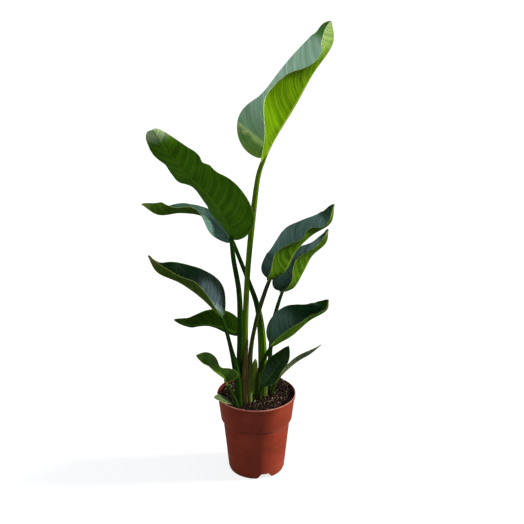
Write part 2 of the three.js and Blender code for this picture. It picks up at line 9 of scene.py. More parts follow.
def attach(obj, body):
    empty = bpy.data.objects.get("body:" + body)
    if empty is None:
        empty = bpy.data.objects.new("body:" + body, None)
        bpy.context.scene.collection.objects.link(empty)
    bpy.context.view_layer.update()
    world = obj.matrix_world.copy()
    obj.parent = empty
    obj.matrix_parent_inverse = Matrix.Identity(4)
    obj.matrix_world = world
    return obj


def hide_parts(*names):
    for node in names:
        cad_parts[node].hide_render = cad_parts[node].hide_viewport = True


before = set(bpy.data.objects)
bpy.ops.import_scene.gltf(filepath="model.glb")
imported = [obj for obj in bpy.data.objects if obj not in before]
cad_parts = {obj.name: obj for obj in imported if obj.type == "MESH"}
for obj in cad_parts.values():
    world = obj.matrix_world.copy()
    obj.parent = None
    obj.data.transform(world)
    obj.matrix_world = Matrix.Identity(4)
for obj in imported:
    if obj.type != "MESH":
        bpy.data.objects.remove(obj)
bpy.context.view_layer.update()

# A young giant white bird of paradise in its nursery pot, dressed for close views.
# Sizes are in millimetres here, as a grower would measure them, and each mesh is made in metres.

MM = 0.001

BLADE_THICKNESS = 1.1
MARGIN_THICKNESS = 0.6
RIB_SIZE = 2.6
SOIL_LEVEL = 179
STRAIGHT = 0.001

POT = dict(
    height=187, wall=2.2, rim_radius=87.5, rim_wall=2, lip_height=8, lip_step=2, band_radius=79.3,
    band_bottom=127.5, body_radius=73.7, body_top=118.5, heel_radius=63, heel_height=7, foot_radius=58,
    foot_width=3, recess=13, centre_foot=18,
)
INNER_RIM = POT["rim_radius"] - POT["lip_step"] - POT["rim_wall"]
POT_FLOOR = POT["recess"] + POT["wall"]
NOTCH = dict(count=3, bottom=40, top=17, height=13, first_angle=-72.5)
DRAIN_HOLES = dict(count=6, radius=5, circle=36)
HEAP = dict(x=44, y=42, height=24, spread=19, falls_from=67, left_at_wall=0.6)
# How rough the soil is, and how it is banked up round each stem
LUMPS = dict(height=1.5, size=13)
GRAINS = dict(height=0.9, size=3.2)
BANKED = dict(height=1.6, reach=4, most=2.4)

# Each leaf, as it grew. rib: the midrib from base to tip. face: where the upper side looks. left, right:
# half-widths from base to tip. fold: degrees that each half rises from flat. curl: degrees that it bends on
# the way to its margin. full, blunt: how slowly the outline widens and narrows. lobe: how far the margin
# reaches back past the base. bulges: where a margin waves up or down, and nicks: where it is cut in or stands
# out, each with its side, its place on the midrib, its reach and its size.
PLAIN_LEAF = dict(full=0.42, blunt=0.7, lobe=0, rib_size=RIB_SIZE, finish="mature", bulges=(), nicks=())
LEAVES = {
    "top": dict(
        finish="young",
        rib=[(15, -34, 731), (44, -31, 784), (78, -18, 838), (111, -3, 894), (149, -5, 953),
             (146, -24, 1000)],
        face=[(-0.77, -0.41, 0.49), (-0.85, -0.29, 0.44), (-0.9, -0.22, 0.39)],
        left=[102, 98, 76, 66, 63, 67, 76], right=[87, 82, 75, 66, 63, 65, 72],
        fold_left=[70, 60, 40, 45, 40, 45, 55], fold_right=[35, 45, 75, 65, 35, 45, 55],
        curl_left=[10, 5, 10], curl_right=[-5, 0, -5], blunt=0.6, lobe=14,
    ),
    "upper_left": dict(
        finish="tall",
        rib=[(-49, -60, 567), (-62, -77, 617), (-93, -80, 667), (-133, -85, 709), (-169, -91, 758),
             (-196, -118, 809)],
        face=[(0.39, 0.77, 0.52), (0.24, 0.86, 0.42), (0.06, 0.97, 0.27)],
        left=[75, 76, 66, 57, 49, 35, 23], right=[70, 69, 64, 53, 56, 48, 40],
        fold_left=[15, 20, 20, 5, 0, 10, 20], fold_right=[40, 25, 30, 35, 25, 15, 10],
        curl_left=[10, 5, 25], curl_right=[10, 0, 15], blunt=0.35, lobe=8,
        bulges=[("right", 0.72, 0.07, 5), ("right", 0.58, 0.05, -6), ("left", 0.6, 0.06, 5),
                ("left", 0.5, 0.05, -4)],
        nicks=[("left", 0.62, 0.032, 7.5), ("left", 0.71, 0.04, -2), ("right", 0.71, 0.025, 3)],
    ),
    "arching_left": dict(
        finish="waxy_and_painted_sheen",
        rib=[(-49, 5, 540), (-78, 24, 569), (-116, 34, 590), (-159, 31, 597), (-205, 20, 596),
             (-242, 34, 614)],
        face=[(-0.17, -0.8, 0.65), (0.15, -0.28, 0.85), (0.36, 0.44, 0.85)],
        left=[31, 36, 38, 39, 43, 47, 37], right=[30, 22, 18, 22, 27, 34, 36],
        fold_left=[25, 15, 30, 45, 35, 65, 55], fold_right=[75, 55, 25, 15, 25, 45, 35],
        curl_left=[5, 20, 25], curl_right=[20, 5, 5],
        bulges=[("right", 0.57, 0.06, 4), ("right", 0.68, 0.05, -3)],
    ),
    "middle_left": dict(
        finish="dark",
        rib=[(-71, -60, 395), (-111, -54, 436), (-155, -51, 469), (-202, -61, 497), (-219, -81, 540)],
        face=[(0.37, -0.25, 0.9), (0.38, -0.2, 0.9), (0.41, -0.18, 0.9)],
        left=[46, 48, 48, 45, 44, 41], right=[45, 54, 49, 43, 41, 41],
        fold_left=[35, 40, 50, 45, 55, 35], fold_right=[15, 40, 40, 30, 15, 20],
        curl_left=[5, 5, 5], curl_right=[0, 5, -5],
        bulges=[("right", 0.62, 0.05, 2.5), ("right", 0.74, 0.05, -2.5), ("right", 0.5, 0.05, -2)],
    ),
    "low_left": dict(
        finish="shaded",
        rib=[(-38, 12, 321), (-72, 23, 333), (-109, 29, 338), (-147, 29, 338), (-182, 33, 348)],
        face=[(-0.08, 0.94, 0.33), (-0.17, 0.88, 0.44), (-0.21, 0.82, 0.54)],
        left=[40, 40, 41, 37, 37], right=[39, 40, 39, 39, 38],
        fold_left=[40, 30, 15, 0, -5], fold_right=[35, 25, 30, 25, 15],
        curl_left=[20, 5, 0], curl_right=[5, 5, 0],
    ),
    "small_left": dict(
        finish="small",
        rib=[(-63, -72, 247), (-71, -79, 268), (-90, -84, 284), (-107, -84, 303), (-126, -89, 320)],
        face=[(0.38, -0.63, 0.67), (0.48, -0.52, 0.7), (0.55, -0.46, 0.7)],
        left=[33, 25, 21, 21, 25, 29, 29], right=[46, 34, 14, 18, 27, 33, 31],
        fold_left=[45, 35, 35, 40, 40, 25, 20], fold_right=[55, 45, 30, 30, 30, 25, 25],
        curl_left=[15, 20, 5], curl_right=[15, 10, 5], lobe=-6,
    ),
    "over_rim": dict(
        finish="dull",
        rib=[(-49, -59, 187), (-60, -65, 197), (-71, -70, 206), (-80, -78, 214), (-90, -89, 221)],
        face=[(0.19, -0.48, 0.86), (0.22, -0.54, 0.81), (0.24, -0.62, 0.75)],
        left=[6, 7, 9, 10, 11], right=[5, 6, 7, 9, 10],
        fold_left=[20, 15, 10, 10, 10], fold_right=[10, 10, 10, 10, 20],
        curl_left=[5, 0, 5], curl_right=[5, 0, 5], full=0.7, blunt=0.6, rib_size=1.2,
    ),
    "upper_right": dict(
        finish="waxy_and_painted_sheen",
        rib=[(27, -6, 458), (58, -27, 486), (81, -23, 529), (115, -14, 562), (153, -22, 591),
             (160, -36, 636)],
        face=[(-0.87, -0.28, 0.41), (-0.6, -0.25, 0.72), (-0.41, -0.34, 0.86)],
        left=[70, 59, 52, 55, 52, 54, 51], right=[56, 53, 53, 55, 55, 54, 51],
        fold_left=[80, 55, 35, 35, 15, 35, 50], fold_right=[50, 50, 65, 40, 50, 35, 30],
        curl_left=[20, -5, 10], curl_right=[5, 0, -5], lobe=-8, nicks=[("right", 0.03, 0.05, 20)],
    ),
    "second_right": dict(
        finish="waxy_and_painted_sheen",
        rib=[(56, 38, 414), (80, 13, 434), (99, 13, 469), (118, 19, 504), (147, 21, 532), (152, 8, 567)],
        face=[(-0.51, -0.65, 0.58), (-0.6, -0.38, 0.68), (-0.69, -0.19, 0.71)],
        left=[62, 62, 52, 49, 43, 41, 39], right=[46, 45, 47, 47, 45, 42, 39],
        fold_left=[90, 70, 50, 35, 5, 20, 25], fold_right=[50, 55, 55, 65, 45, 50, 25],
        curl_left=[25, -5, 0], curl_right=[10, 5, -5], lobe=-8, nicks=[("right", 0.035, 0.05, 15)],
    ),
    "middle_right": dict(
        rib=[(32, -48, 323), (73, -52, 349), (111, -44, 380), (146, -55, 408), (150, -83, 444)],
        face=[(-0.59, -0.44, 0.69), (-0.37, -0.55, 0.72), (-0.07, -0.69, 0.72)],
        left=[64, 62, 57, 47, 44, 45], right=[56, 54, 51, 46, 44, 44],
        fold_left=[55, 45, 40, 65, 45, 20], fold_right=[45, 60, 60, 60, 65, 45],
        curl_left=[10, 15, 5], curl_right=[5, 10, 5],
    ),
    "low_right": dict(
        finish="shaded",
        rib=[(12, -25, 214), (31, -19, 236), (46, -20, 262), (59, -24, 288), (70, -31, 315)],
        face=[(-0.37, -0.83, 0.43), (-0.28, -0.88, 0.38), (-0.16, -0.94, 0.3)],
        left=[16, 21, 26, 25, 24], right=[16, 23, 22, 26, 24],
        fold_left=[5, 10, 10, 20, 25], fold_right=[25, 20, 25, 15, 15],
        curl_left=[0, 0, 10], curl_right=[5, 15, 5],
    ),
    "narrow_right": dict(
        finish="dull",
        rib=[(46, 13, 215), (69, 20, 236), (94, 26, 254), (120, 26, 270), (144, 28, 290)],
        face=[(-0.4, 0.26, 0.88), (-0.4, 0.25, 0.88), (-0.41, 0.24, 0.88)],
        left=[8, 7, 9, 10, 6], right=[8, 6, 8, 10, 6],
        fold_left=[60, 60, 60, 60, 60], fold_right=[55, 55, 55, 55, 50],
        curl_left=[5, 5, 5], curl_right=[0, 5, 0], full=0.6, blunt=0.8,
    ),
}

# Each leaf's stalk. line: from its foot in the soil to just under the blade. size: its half-widths along the
# line, across and deep.
STALKS = {
    "top": dict(
        finish="young",
        line=[(-26, -20, 150), (-25, -21, 240), (-24, -24, 340), (-18, -28, 480), (-7, -31, 600),
              (4, -33, 690)],
        size=[(6.5, 6), (6.5, 6), (6.5, 6), (5.8, 5.5), (6.2, 5.5), (5.2, 4.6)],
    ),
    "upper_left": dict(
        line=[(-39, -28, 150), (-38, -29, 240), (-34.5, -32, 340), (-35.5, -42, 440), (-46, -54, 520)],
        size=[(6.4, 6), (6.4, 6), (6.4, 6), (5.6, 5.2), (5, 4.6)],
    ),
    "arching_left": dict(
        finish="bright",
        line=[(10, 14, 150), (13.8, 12, 250), (10, 9.5, 340), (0, 8, 400), (-20, 6, 460), (-38, 5, 510)],
        size=[(7.6, 6.6), (9.8, 6.6), (8.2, 6), (5.8, 5.2), (4.8, 4.4), (4.3, 4)],
    ),
    "middle_left": dict(
        line=[(-38, -46, 150), (-39, -47.5, 215), (-44.5, -50, 270), (-54, -53, 320), (-63, -57, 362)],
        size=[(7.5, 6), (8, 6), (7.2, 5.6), (4.6, 4.2), (4, 4)],
    ),
    "low_left": dict(
        line=[(-30, -6, 150), (-31, -4, 220), (-33, 4, 290)],
        size=[(4.4, 4), (4, 3.8), (3.6, 3.4)],
    ),
    "small_left": dict(
        line=[(-40.5, -60, 165), (-43, -60.5, 190), (-54, -66, 222)],
        size=[(4.8, 4.2), (4.5, 4), (3, 2.8)],
    ),
    "over_rim": dict(line=[(-49, -55, 166)], size=[(2, 1.8)]),
    "upper_right": dict(
        finish="pale",
        line=[(-15, -30, 150), (-15, -30, 230), (-12, -27, 300), (-4, -22, 350), (10, -14, 405)],
        size=[(6.2, 6), (6.2, 6), (5, 4.8), (4.4, 4.2), (4.8, 4.4)],
    ),
    "second_right": dict(
        line=[(28, 14, 150), (29, 14, 230), (31.5, 17, 290), (36, 24, 340), (46, 32, 380)],
        size=[(5.6, 5), (5.4, 4.8), (4.6, 4.4), (4.4, 4.2), (4.2, 4)],
    ),
    "middle_right": dict(
        line=[(2, -6, 150), (3, -7, 205), (7, -12, 250), (22, -33, 295)],
        size=[(5, 4.6), (4.8, 4.4), (4.4, 4), (4, 3.8)],
    ),
    "low_right": dict(line=[(8, -17, 150), (8, -19, 185)], size=[(4.2, 4), (3.8, 3.6)]),
    "narrow_right": dict(
        line=[(31, -1, 150), (34, 2, 185)],
        size=[(6, 5), (4.2, 3.8)],
    ),
}
SHEATHS = {
    "sheath_dry": dict(
        line=[(-25, -38, 150), (-26, -38.5, 195), (-25.5, -38, 240), (-22.5, -37.5, 285), (-17.5, -36, 332)],
        size=[(6, 5), (6.4, 4.8), (6.2, 4.2), (4.6, 3.2), (0.9, 0.8)],
    ),
    "sheath_rounded": dict(
        line=[(-6, 3, 150), (-5.5, 3, 200), (-3.6, 2.5, 244), (-2.8, 2.3, 258), (-2, 2, 267)],
        size=[(5.4, 4.8), (6, 4.8), (6.3, 4.4), (5.2, 3.4), (1.8, 1.3)],
    ),
    "rolled_shoot": dict(
        line=[(17.5, -6, 150), (18.5, -5, 190), (22, -2, 220), (26.5, 2, 242)],
        size=[(5.6, 5), (5.4, 4.8), (3.4, 3.2), (0.8, 0.8)],
    ),
}


# Small helpers

def along(values, t):
    """A smooth pass through evenly spaced values, read at each t from 0 to 1."""
    knots = np.asarray(values, float)
    flat = knots.ndim == 1
    if flat:
        knots = knots[:, None]
    padded = np.vstack([2 * knots[0] - knots[1], knots, 2 * knots[-1] - knots[-2]])
    last = len(knots) - 1
    place = np.clip(np.asarray(t, float), 0, 1) * last
    i = np.minimum(np.floor(place).astype(int), last - 1)
    w = (place - i)[..., None]
    before, b, c, after = (padded[i + k] for k in range(4))
    rise, fall = (c - before) / 2, (after - b) / 2
    passed = ((2 * w ** 3 - 3 * w ** 2 + 1) * b + (w ** 3 - 2 * w ** 2 + w) * rise
              + (3 * w ** 2 - 2 * w ** 3) * c + (w ** 3 - w ** 2) * fall)
    return passed[..., 0] if flat else passed


def run_length(line):
    """How long a line of knots is."""
    points = along(line, np.linspace(0, 1, 60))
    return float(np.sum(np.linalg.norm(np.diff(points, axis=0), axis=1)))


def unit(vectors):
    return vectors / np.linalg.norm(vectors, axis=-1, keepdims=True)


def heading_of(line, t, step=0.001):
    """Which way a line of knots runs at each t."""
    return unit(along(line, np.minimum(t + step, 1)) - along(line, np.maximum(t - step, 0)))


def ease(low, high, value):
    share = np.clip((value - low) / (high - low), 0, 1)
    return share * share * (3 - 2 * share)


def wobble(place, spacing, seed):
    """A smooth random wave along a line, about -1 to 1, with a knot at each spacing."""
    span = float(place.max() - place.min()) + 1e-6
    knots = np.random.default_rng(seed).uniform(-1, 1, max(4, int(span / spacing) + 3))
    return along(knots, (place - place.min()) / span)


def begin(add, **settings):
    """Adds a primitive while nothing else is selected, and hands it back."""
    bpy.ops.object.select_all(action="DESELECT")
    add(**settings)
    return bpy.context.object


def only(piece):
    """Leaves this piece alone selected and active."""
    bpy.ops.object.select_all(action="DESELECT")
    piece.select_set(True)
    bpy.context.view_layer.objects.active = piece


def start_editing():
    bpy.ops.object.mode_set(mode="EDIT")
    bpy.ops.mesh.select_all(action="SELECT")


def end_editing(face_outwards=True):
    if face_outwards:
        bpy.ops.mesh.select_all(action="SELECT")
        bpy.ops.mesh.normals_make_consistent(inside=False)
    bpy.ops.object.mode_set(mode="OBJECT")


def smooth(piece, angle):
    only(piece)
    bpy.ops.object.shade_smooth_by_angle(angle=math.radians(angle))


def settle(piece, name, slot, *nodes):
    """Names a finished piece, lets it ride with the plant and hides the imported nodes that it stands for."""
    piece.name = name
    piece.data.name = name
    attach(piece, "root")
    if nodes:
        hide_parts(*nodes)
    return piece


def keep_values(piece, name, values):
    """Stores three numbers at each point of a mesh, for its finish to read."""
    made = piece.data.attributes.new(name, "FLOAT_VECTOR", "POINT")
    made.data.foreach_set("vector", np.ascontiguousarray(values, np.float32).reshape(-1))


def rolled_sheet(points, values, column_materials=None):
    """A grid laid over rows of points whose last column meets its first, closed at both ends."""
    rows, columns = points.shape[:2]
    piece = begin(bpy.ops.mesh.primitive_grid_add, x_subdivisions=columns - 1,
                  y_subdivisions=rows - 1, size=1)
    piece.data.vertices.foreach_set("co", np.ascontiguousarray(points * MM, np.float32).reshape(-1))
    for name, per_point in values.items():
        keep_values(piece, name, per_point)
    if column_materials is not None:
        per_face = np.tile(column_materials, rows - 1).astype(np.int32)
        piece.data.polygons.foreach_set("material_index", per_face)
    start_editing()
    bpy.ops.mesh.remove_doubles(threshold=1e-6)
    bpy.ops.mesh.fill_holes(sides=0)
    end_editing()
    return piece


# Blades

# The least half-width of a blade, in half-widths of its rib
LEAST_WIDTH = 1.25


def rib_frame(leaf, t):
    """The midrib's place, its heading, the side the upper face looks to, and the right-hand side."""
    place = along(leaf["rib"], t)
    heading = heading_of(leaf["rib"], t)
    face = along(leaf["face"], t)
    up = unit(face - heading * np.sum(face * heading, axis=-1, keepdims=True))
    return place, heading, up, np.cross(heading, up)


def rib_half(leaf, t):
    return BLADE_THICKNESS / 2 + leaf["rib_size"] * (1 - t) ** 0.8


def rib_depth(leaf, t):
    return 0.8 * BLADE_THICKNESS + 1.3 * leaf["rib_size"] * (1 - t) ** 0.9


def outline(leaf, t):
    full, blunt = leaf["full"], leaf["blunt"]
    widest = full / (full + blunt)
    return t ** full * (1 - t) ** blunt / (widest ** full * (1 - widest) ** blunt)


def half_width(leaf, side, t):
    width = outline(leaf, t) * along(leaf[side], t)
    for hand, place_on, reach_on, deep in leaf["nicks"]:
        if hand == side:
            width = width - deep * np.exp(-((t - place_on) / reach_on) ** 2)
    return np.maximum(width, LEAST_WIDTH * rib_half(leaf, t))


def blade_points(leaf, side, t, across):
    """Middle-surface points of one half. t: one per row. across: rows by columns, 0 at the rib, 1 at the
    margin."""
    place, heading, up, right = (v[:, None, :] for v in rib_frame(leaf, t))
    hand = 1 if side == "right" else -1
    width = half_width(leaf, side, t)[:, None]
    fold = np.radians(along(leaf["fold_" + side], t))[:, None]
    bend = np.radians(along(leaf["curl_" + side], t))[:, None]
    curl = np.where(np.abs(bend) < STRAIGHT, STRAIGHT, bend)
    out = width / curl * (np.sin(fold + curl * across) - np.sin(fold))
    rise = width / curl * (np.cos(fold) - np.cos(fold + curl * across))
    back = leaf["lobe"] * across ** 1.5 * (outline(leaf, t) ** 0.5 * (1 - t) ** 6)[:, None]
    back = back * ease(1, 2.4, width / (LEAST_WIDTH * rib_half(leaf, t)[:, None]))
    return place + right * (hand * out)[..., None] + up * rise[..., None] - heading * back[..., None]


def blade_normals(leaf, side, t, across):
    step, side_step = 0.002, 0.02
    hand = 1 if side == "right" else -1
    forward = (blade_points(leaf, side, np.minimum(t + step, 1), across)
               - blade_points(leaf, side, np.maximum(t - step, 0), across))
    outward = (blade_points(leaf, side, t, np.minimum(across + side_step, 1))
               - blade_points(leaf, side, t, np.maximum(across - side_step, 0)))
    return unit(np.cross(hand * outward, forward))


# Columns of points, from the rib out. On the upper side they are shares of the half-width. Underneath the
# first ones are in half-widths of the rib, which takes at most MOST_RIB of the blade's half-width, and the
# others are shares of what is left.
UPPER_COLUMNS = np.array([0, 0.03, 0.08, 0.16, 0.26, 0.37, 0.48, 0.59, 0.7, 0.8, 0.88, 0.94, 0.98, 1])
RIB_COLUMNS = np.array([0, 0.4, 0.8, 1.15, 1.5])
UNDER_COLUMNS = np.array([0.08, 0.2, 0.32, 0.44, 0.56, 0.68, 0.79, 0.88, 0.95, 1])
MOST_RIB = 0.85
CREASE_ROUNDING = 1.2
STATION_SPACING = 2.3
LEAST_STATIONS = 24
PLEAT_SPACING = 8
PLEAT_HEIGHT = 0.34
WAVE_SPACING = 42
WAVE_HEIGHT = 2.1
FULL_WAVES_WIDTH = 30
VEIN_SLANT = dict(at_base=0.24, towards_tip=0.4, towards_margin=0.3)


def blade_half(leaf, side, t, seed):
    """Rows of points on the upper and the under side of one half, from the rib out, with what the finish
    reads."""
    width = half_width(leaf, side, t)[:, None]
    rib = rib_half(leaf, t)[:, None]
    folds = [np.radians(along(leaf["fold_" + s], t)) for s in ("left", "right")]
    beta = (np.maximum(math.pi - folds[0] - folds[1], 0.5) / 2)[:, None]
    lean = ((folds[0] - folds[1]) / 2)[:, None]
    place, _, up, right = rib_frame(leaf, t)
    split = up * np.cos(lean) + right * np.sin(lean)
    length = np.concatenate([[0], np.cumsum(np.linalg.norm(np.diff(place, axis=0), axis=1))])[:, None]

    def reading(across):
        x = across * width
        # side veins leave the rib at a wide angle and sweep on towards the tip
        slant = (VEIN_SLANT["at_base"] + VEIN_SLANT["towards_tip"] * t[:, None]
                 + VEIN_SLANT["towards_margin"] * across ** 2)
        vein = length - x * slant
        # pleats start beside the rib, sink a little towards the margin and fade out at the base
        swell = ease(0.02, 0.2, across) * (1 - 0.35 * across) * ease(0, 0.08, t)[:, None]
        pleat = PLEAT_HEIGHT * swell * wobble(vein, PLEAT_SPACING, seed)
        wave = WAVE_HEIGHT * across ** 3 * np.sin(math.pi * t)[:, None]
        wave = wave * wobble(vein, WAVE_SPACING, seed + 50)
        for hand, place_on, reach_on, tall in leaf["bulges"]:
            if hand == side:
                wave = wave + tall * across ** 2.5 * np.exp(-((t[:, None] - place_on) / reach_on) ** 2)
        size = np.minimum(1, width / FULL_WAVES_WIDTH)
        veins = np.stack([x, vein, np.broadcast_to(t[:, None], x.shape)], axis=-1)
        edges = np.stack([x / rib, (1 - across) * width, across + np.zeros_like(x)], axis=-1)
        half = BLADE_THICKNESS / 2 + (MARGIN_THICKNESS - BLADE_THICKNESS) / 2 * across ** 3
        return (pleat + wave) * size, veins, edges, half

    # upper side: the crease is rounded into a channel
    start = np.minimum(BLADE_THICKNESS / 2 / np.tan(beta) / width, 0.5)
    across = start + (1 - start) * UPPER_COLUMNS[None, :]
    ripple, upper_veins, upper_edges, half = reading(across)
    normal = blade_normals(leaf, side, t, across)
    radius = CREASE_ROUNDING * rib
    reach = np.maximum(radius / np.tan(beta), 0.01)
    fill = radius * (1 / np.sin(beta) - 1) * np.maximum(1 - (across - start) * width / reach, 0) ** 2
    upper = (blade_points(leaf, side, t, across) + normal * (half + ripple)[..., None]
             + split[:, None, :] * fill[..., None])

    # under side: the rib stands out and its flanks run into the blade
    rib_share = np.minimum(rib / width, MOST_RIB / RIB_COLUMNS[-1]) * RIB_COLUMNS[None, :]
    rest = rib_share[:, -1:] + (1 - rib_share[:, -1:]) * UNDER_COLUMNS[None, :]
    across = np.concatenate([rib_share, rest], axis=1)
    ripple, under_veins, under_edges, half = reading(across)
    normal = blade_normals(leaf, side, t, across)
    flank = np.clip(across * width / (RIB_COLUMNS[-1] * rib), 0, 1)
    turn = ease(0, 1, flank)[..., None]
    normal = unit(split[:, None, :] * (1 - turn) + normal * turn)
    depth = half + (rib_depth(leaf, t)[:, None] - half) * (1 - flank ** 2) ** 2
    under = blade_points(leaf, side, t, across) - normal * (depth - ripple)[..., None]
    return (upper, upper_veins, upper_edges), (under, under_veins, under_edges)


def blade(name, leaf, seed):
    stations = max(LEAST_STATIONS, int(run_length(leaf["rib"]) / STATION_SPACING))
    t = (1 - np.cos(np.pi * np.arange(stations + 1) / stations)) / 2
    (left_up, left_under), (right_up, right_under) = (
        blade_half(leaf, side, t, seed + k) for k, side in enumerate(("left", "right")))

    def loop(k):
        """Left margin to right margin over the top, then back underneath."""
        over_left, over_right = left_up[k][:, ::-1], right_up[k][:, 1:]
        back_right, back_left = right_under[k][:, ::-1], left_under[k][:, 1:]
        return np.concatenate([over_left, over_right, back_right, back_left, over_left[:, :1]], axis=1)

    points = loop(0)
    over = len(UPPER_COLUMNS)
    under = len(RIB_COLUMNS) + len(UNDER_COLUMNS)
    points[:, over - 1] = (left_up[0][:, 0] + right_up[0][:, 0]) / 2
    materials = np.array([0] * (2 * over - 2) + [1] * (2 * under))
    piece = rolled_sheet(points, {"veins": loop(1), "edges": loop(2)}, materials)
    for finish in BLADE_FINISHES[leaf["finish"]]:
        piece.data.materials.append(finish)
    smooth(piece, 50)
    slot = "blade_young" if leaf["finish"] == "young" else "blade"
    return settle(piece, f"{name}_blade", slot, f"leaf_{name}")


# Stalks and sheaths

# The sheath's seam lies SEAM_TURN away from the front. Turns and reaches round the stem are in radians, and
# the channel's depth and the step at the sheath's edge are shares of the half-width.
STALK_SIDES = 28
RING_SPACING = 5
SEAM_TURN = 0.5
CHANNEL_DEPTH, CHANNEL_REACH = 0.2, 0.5
OVERLAP_STEP, OVERLAP_REACH = 0.11, 0.5


def stem_rings(line, size, facing, wrap_top, channel_from):
    """Oval rings along a line, with what the finish reads. One edge of the sheath overlaps the other, and
    higher up a channel opens."""
    line = np.asarray(line, float)
    length = run_length(line)
    rings = max(10, int(length / RING_SPACING))
    t = np.linspace(0, 1, rings + 1)
    heading = heading_of(line, t)
    across = unit(np.cross([0, 1, 0], heading))
    deep = np.cross(heading, across)
    halves = along(size, t)
    towards = np.arctan2(deep @ facing, across @ facing)
    turns = np.linspace(0, 2 * math.pi, STALK_SIDES + 1)[None, :]
    angle = towards[:, None] + SEAM_TURN + turns
    channel = ease(channel_from, min(channel_from + 0.3, 0.99), t)[:, None]
    from_front = np.minimum(np.abs(turns - (2 * math.pi - SEAM_TURN)), np.abs(turns + SEAM_TURN))
    factor = 1 - CHANNEL_DEPTH * channel * np.exp(-(from_front / CHANNEL_REACH) ** 2)
    overlap = (1 - ease(wrap_top - 0.15, wrap_top, t))[:, None]
    factor = factor + overlap * OVERLAP_STEP * np.exp(-turns / OVERLAP_REACH)
    points = (along(line, t)[:, None, :]
              + across[:, None, :] * (halves[:, :1] * np.cos(angle) * factor)[..., None]
              + deep[:, None, :] * (halves[:, 1:] * np.sin(angle) * factor)[..., None])
    round_it = turns * np.mean(halves, axis=1)[:, None]
    even = np.zeros_like(round_it)
    stem_values = np.stack([round_it, even + (t * length)[:, None], even + t[:, None]], axis=-1)
    seam = np.stack([round_it, even + overlap, points[..., 2]], axis=-1)
    return points, stem_values, seam


def stem(name, node, line, size, facing, finish, slot, wrap_top=0.45, channel_from=0.5):
    towards = unit(np.asarray(facing, float))
    # a closing column on the seam, so that the sheath's edge makes a step
    points, stem_values, seam = (np.concatenate([grid, grid[:, :1]], axis=1) for grid in stem_rings(
        line, size, towards, wrap_top, channel_from))
    piece = rolled_sheet(points, {"stem": stem_values, "seam": seam})
    piece.data.materials.append(finish)
    smooth(piece, 50)
    return settle(piece, name, slot, node)


def stalk(name, leaf):
    """The stalk runs on into the rib under its blade."""
    line, size = list(STALKS[name]["line"]), list(STALKS[name]["size"])
    shares = np.array([0, 0.05, 0.12])
    place, _, up, _ = rib_frame(leaf, shares)
    depth = rib_depth(leaf, shares)
    for k, share in enumerate((0.45, 0.4, 0.3)):
        line.append(tuple(place[k] - up[k] * share * depth[k]))
    end = rib_half(leaf, shares)
    size.append(tuple(0.85 * v for v in size[-1]))
    size += [(0.95 * end[1], 0.55 * depth[1]), (0.7 * end[2], 0.4 * depth[2])]
    slot = "stalk_young" if leaf["finish"] == "young" else "stalk"
    finish = STALK_FINISHES[STALKS[name].get("finish", "mature")]
    return stem(f"{name}_stalk", f"stalk_{name}", line, size, up[0], finish, slot)


# Pot

POT_SEGMENTS = 120
EDGE_ROUNDING = 0.45


def pot_shell():
    """A ring turned up from the centre of the base, over the rim and down inside, by extruding and scaling
    it. Under the band the wall flares out to a fine groove."""
    top, wall, rim, step = POT["height"], POT["wall"], POT["rim_radius"], POT["lip_step"]
    band, body, foot = POT["band_radius"], POT["body_radius"], POT["foot_radius"]
    band_low, body_top, lip_low = POT["band_bottom"], POT["body_top"], top - POT["lip_height"]
    recess, centre, foot_inner = POT["recess"], POT["centre_foot"], foot - POT["foot_width"]
    profile = [
        (centre, 0), (centre + 1.8, recess), (foot_inner - 0.4, recess), (foot_inner, 0), (foot, 0),
        (foot + 3, 1.6), (POT["heel_radius"], POT["heel_height"]), (body - 0.6, body_top - 10),
        (body, body_top - 2), (body + 0.6, body_top + 1.7), (body + 1.7, body_top + 4),
        (body + 2.9, body_top + 5.4), (body + 2.2, body_top + 6.1), (body + 2.3, body_top + 6.7),
        (band - 1.2, band_low - 1.6), (band, band_low), (rim - step, lip_low), (rim - 0.2, lip_low + 1),
        (rim, top - 1), (rim - 0.6, top), (rim - step - 0.6, top), (INNER_RIM, lip_low - 1),
        (band - wall, band_low + 0.5), (body - wall, body_top + 0.5), (foot + 2.6, POT_FLOOR),
        (centre + 4, POT_FLOOR), (centre + 0.5, wall),
    ]
    radius, z = profile[0]
    shell = begin(bpy.ops.mesh.primitive_circle_add, vertices=POT_SEGMENTS, radius=radius * MM,
                  fill_type="NGON")
    start_editing()
    bpy.ops.mesh.select_mode(type="EDGE")
    bpy.ops.mesh.region_to_loop()
    for next_radius, next_z in profile[1:]:
        bpy.ops.mesh.extrude_edges_move(TRANSFORM_OT_translate={"value": (0, 0, (next_z - z) * MM)})
        share = next_radius / radius
        bpy.ops.transform.resize(value=(share, share, 1), center_override=(0, 0, next_z * MM))
        radius, z = next_radius, next_z
    bpy.ops.mesh.edge_face_add()
    end_editing()
    return shell


def cut_away(piece, cutter):
    """Cuts one shape out of another and throws the cutter away."""
    only(piece)
    cut = piece.modifiers.new("cut", "BOOLEAN")
    cut.operation = "DIFFERENCE"
    cut.solver = "EXACT"
    cut.object = cutter
    bpy.ops.object.modifier_apply(modifier=cut.name)
    bpy.data.objects.remove(cutter, do_unlink=True)


def foot_notch(angle):
    """A block through the foot ring and below it, narrower at its top."""
    inner, outer, low = POT["foot_radius"] - 8, POT["foot_radius"] + 12, -2
    block = begin(bpy.ops.mesh.primitive_cube_add, size=1)
    for corner in block.data.vertices:
        x, y, z = corner.co
        width = NOTCH["top"] if z > 0 else NOTCH["bottom"]
        corner.co = Vector((inner if x < 0 else outer, width * y, NOTCH["height"] if z > 0 else low)) * MM
    block.rotation_euler.z = math.radians(angle)
    only(block)
    bpy.ops.object.transform_apply(location=True, rotation=True, scale=True)
    return block


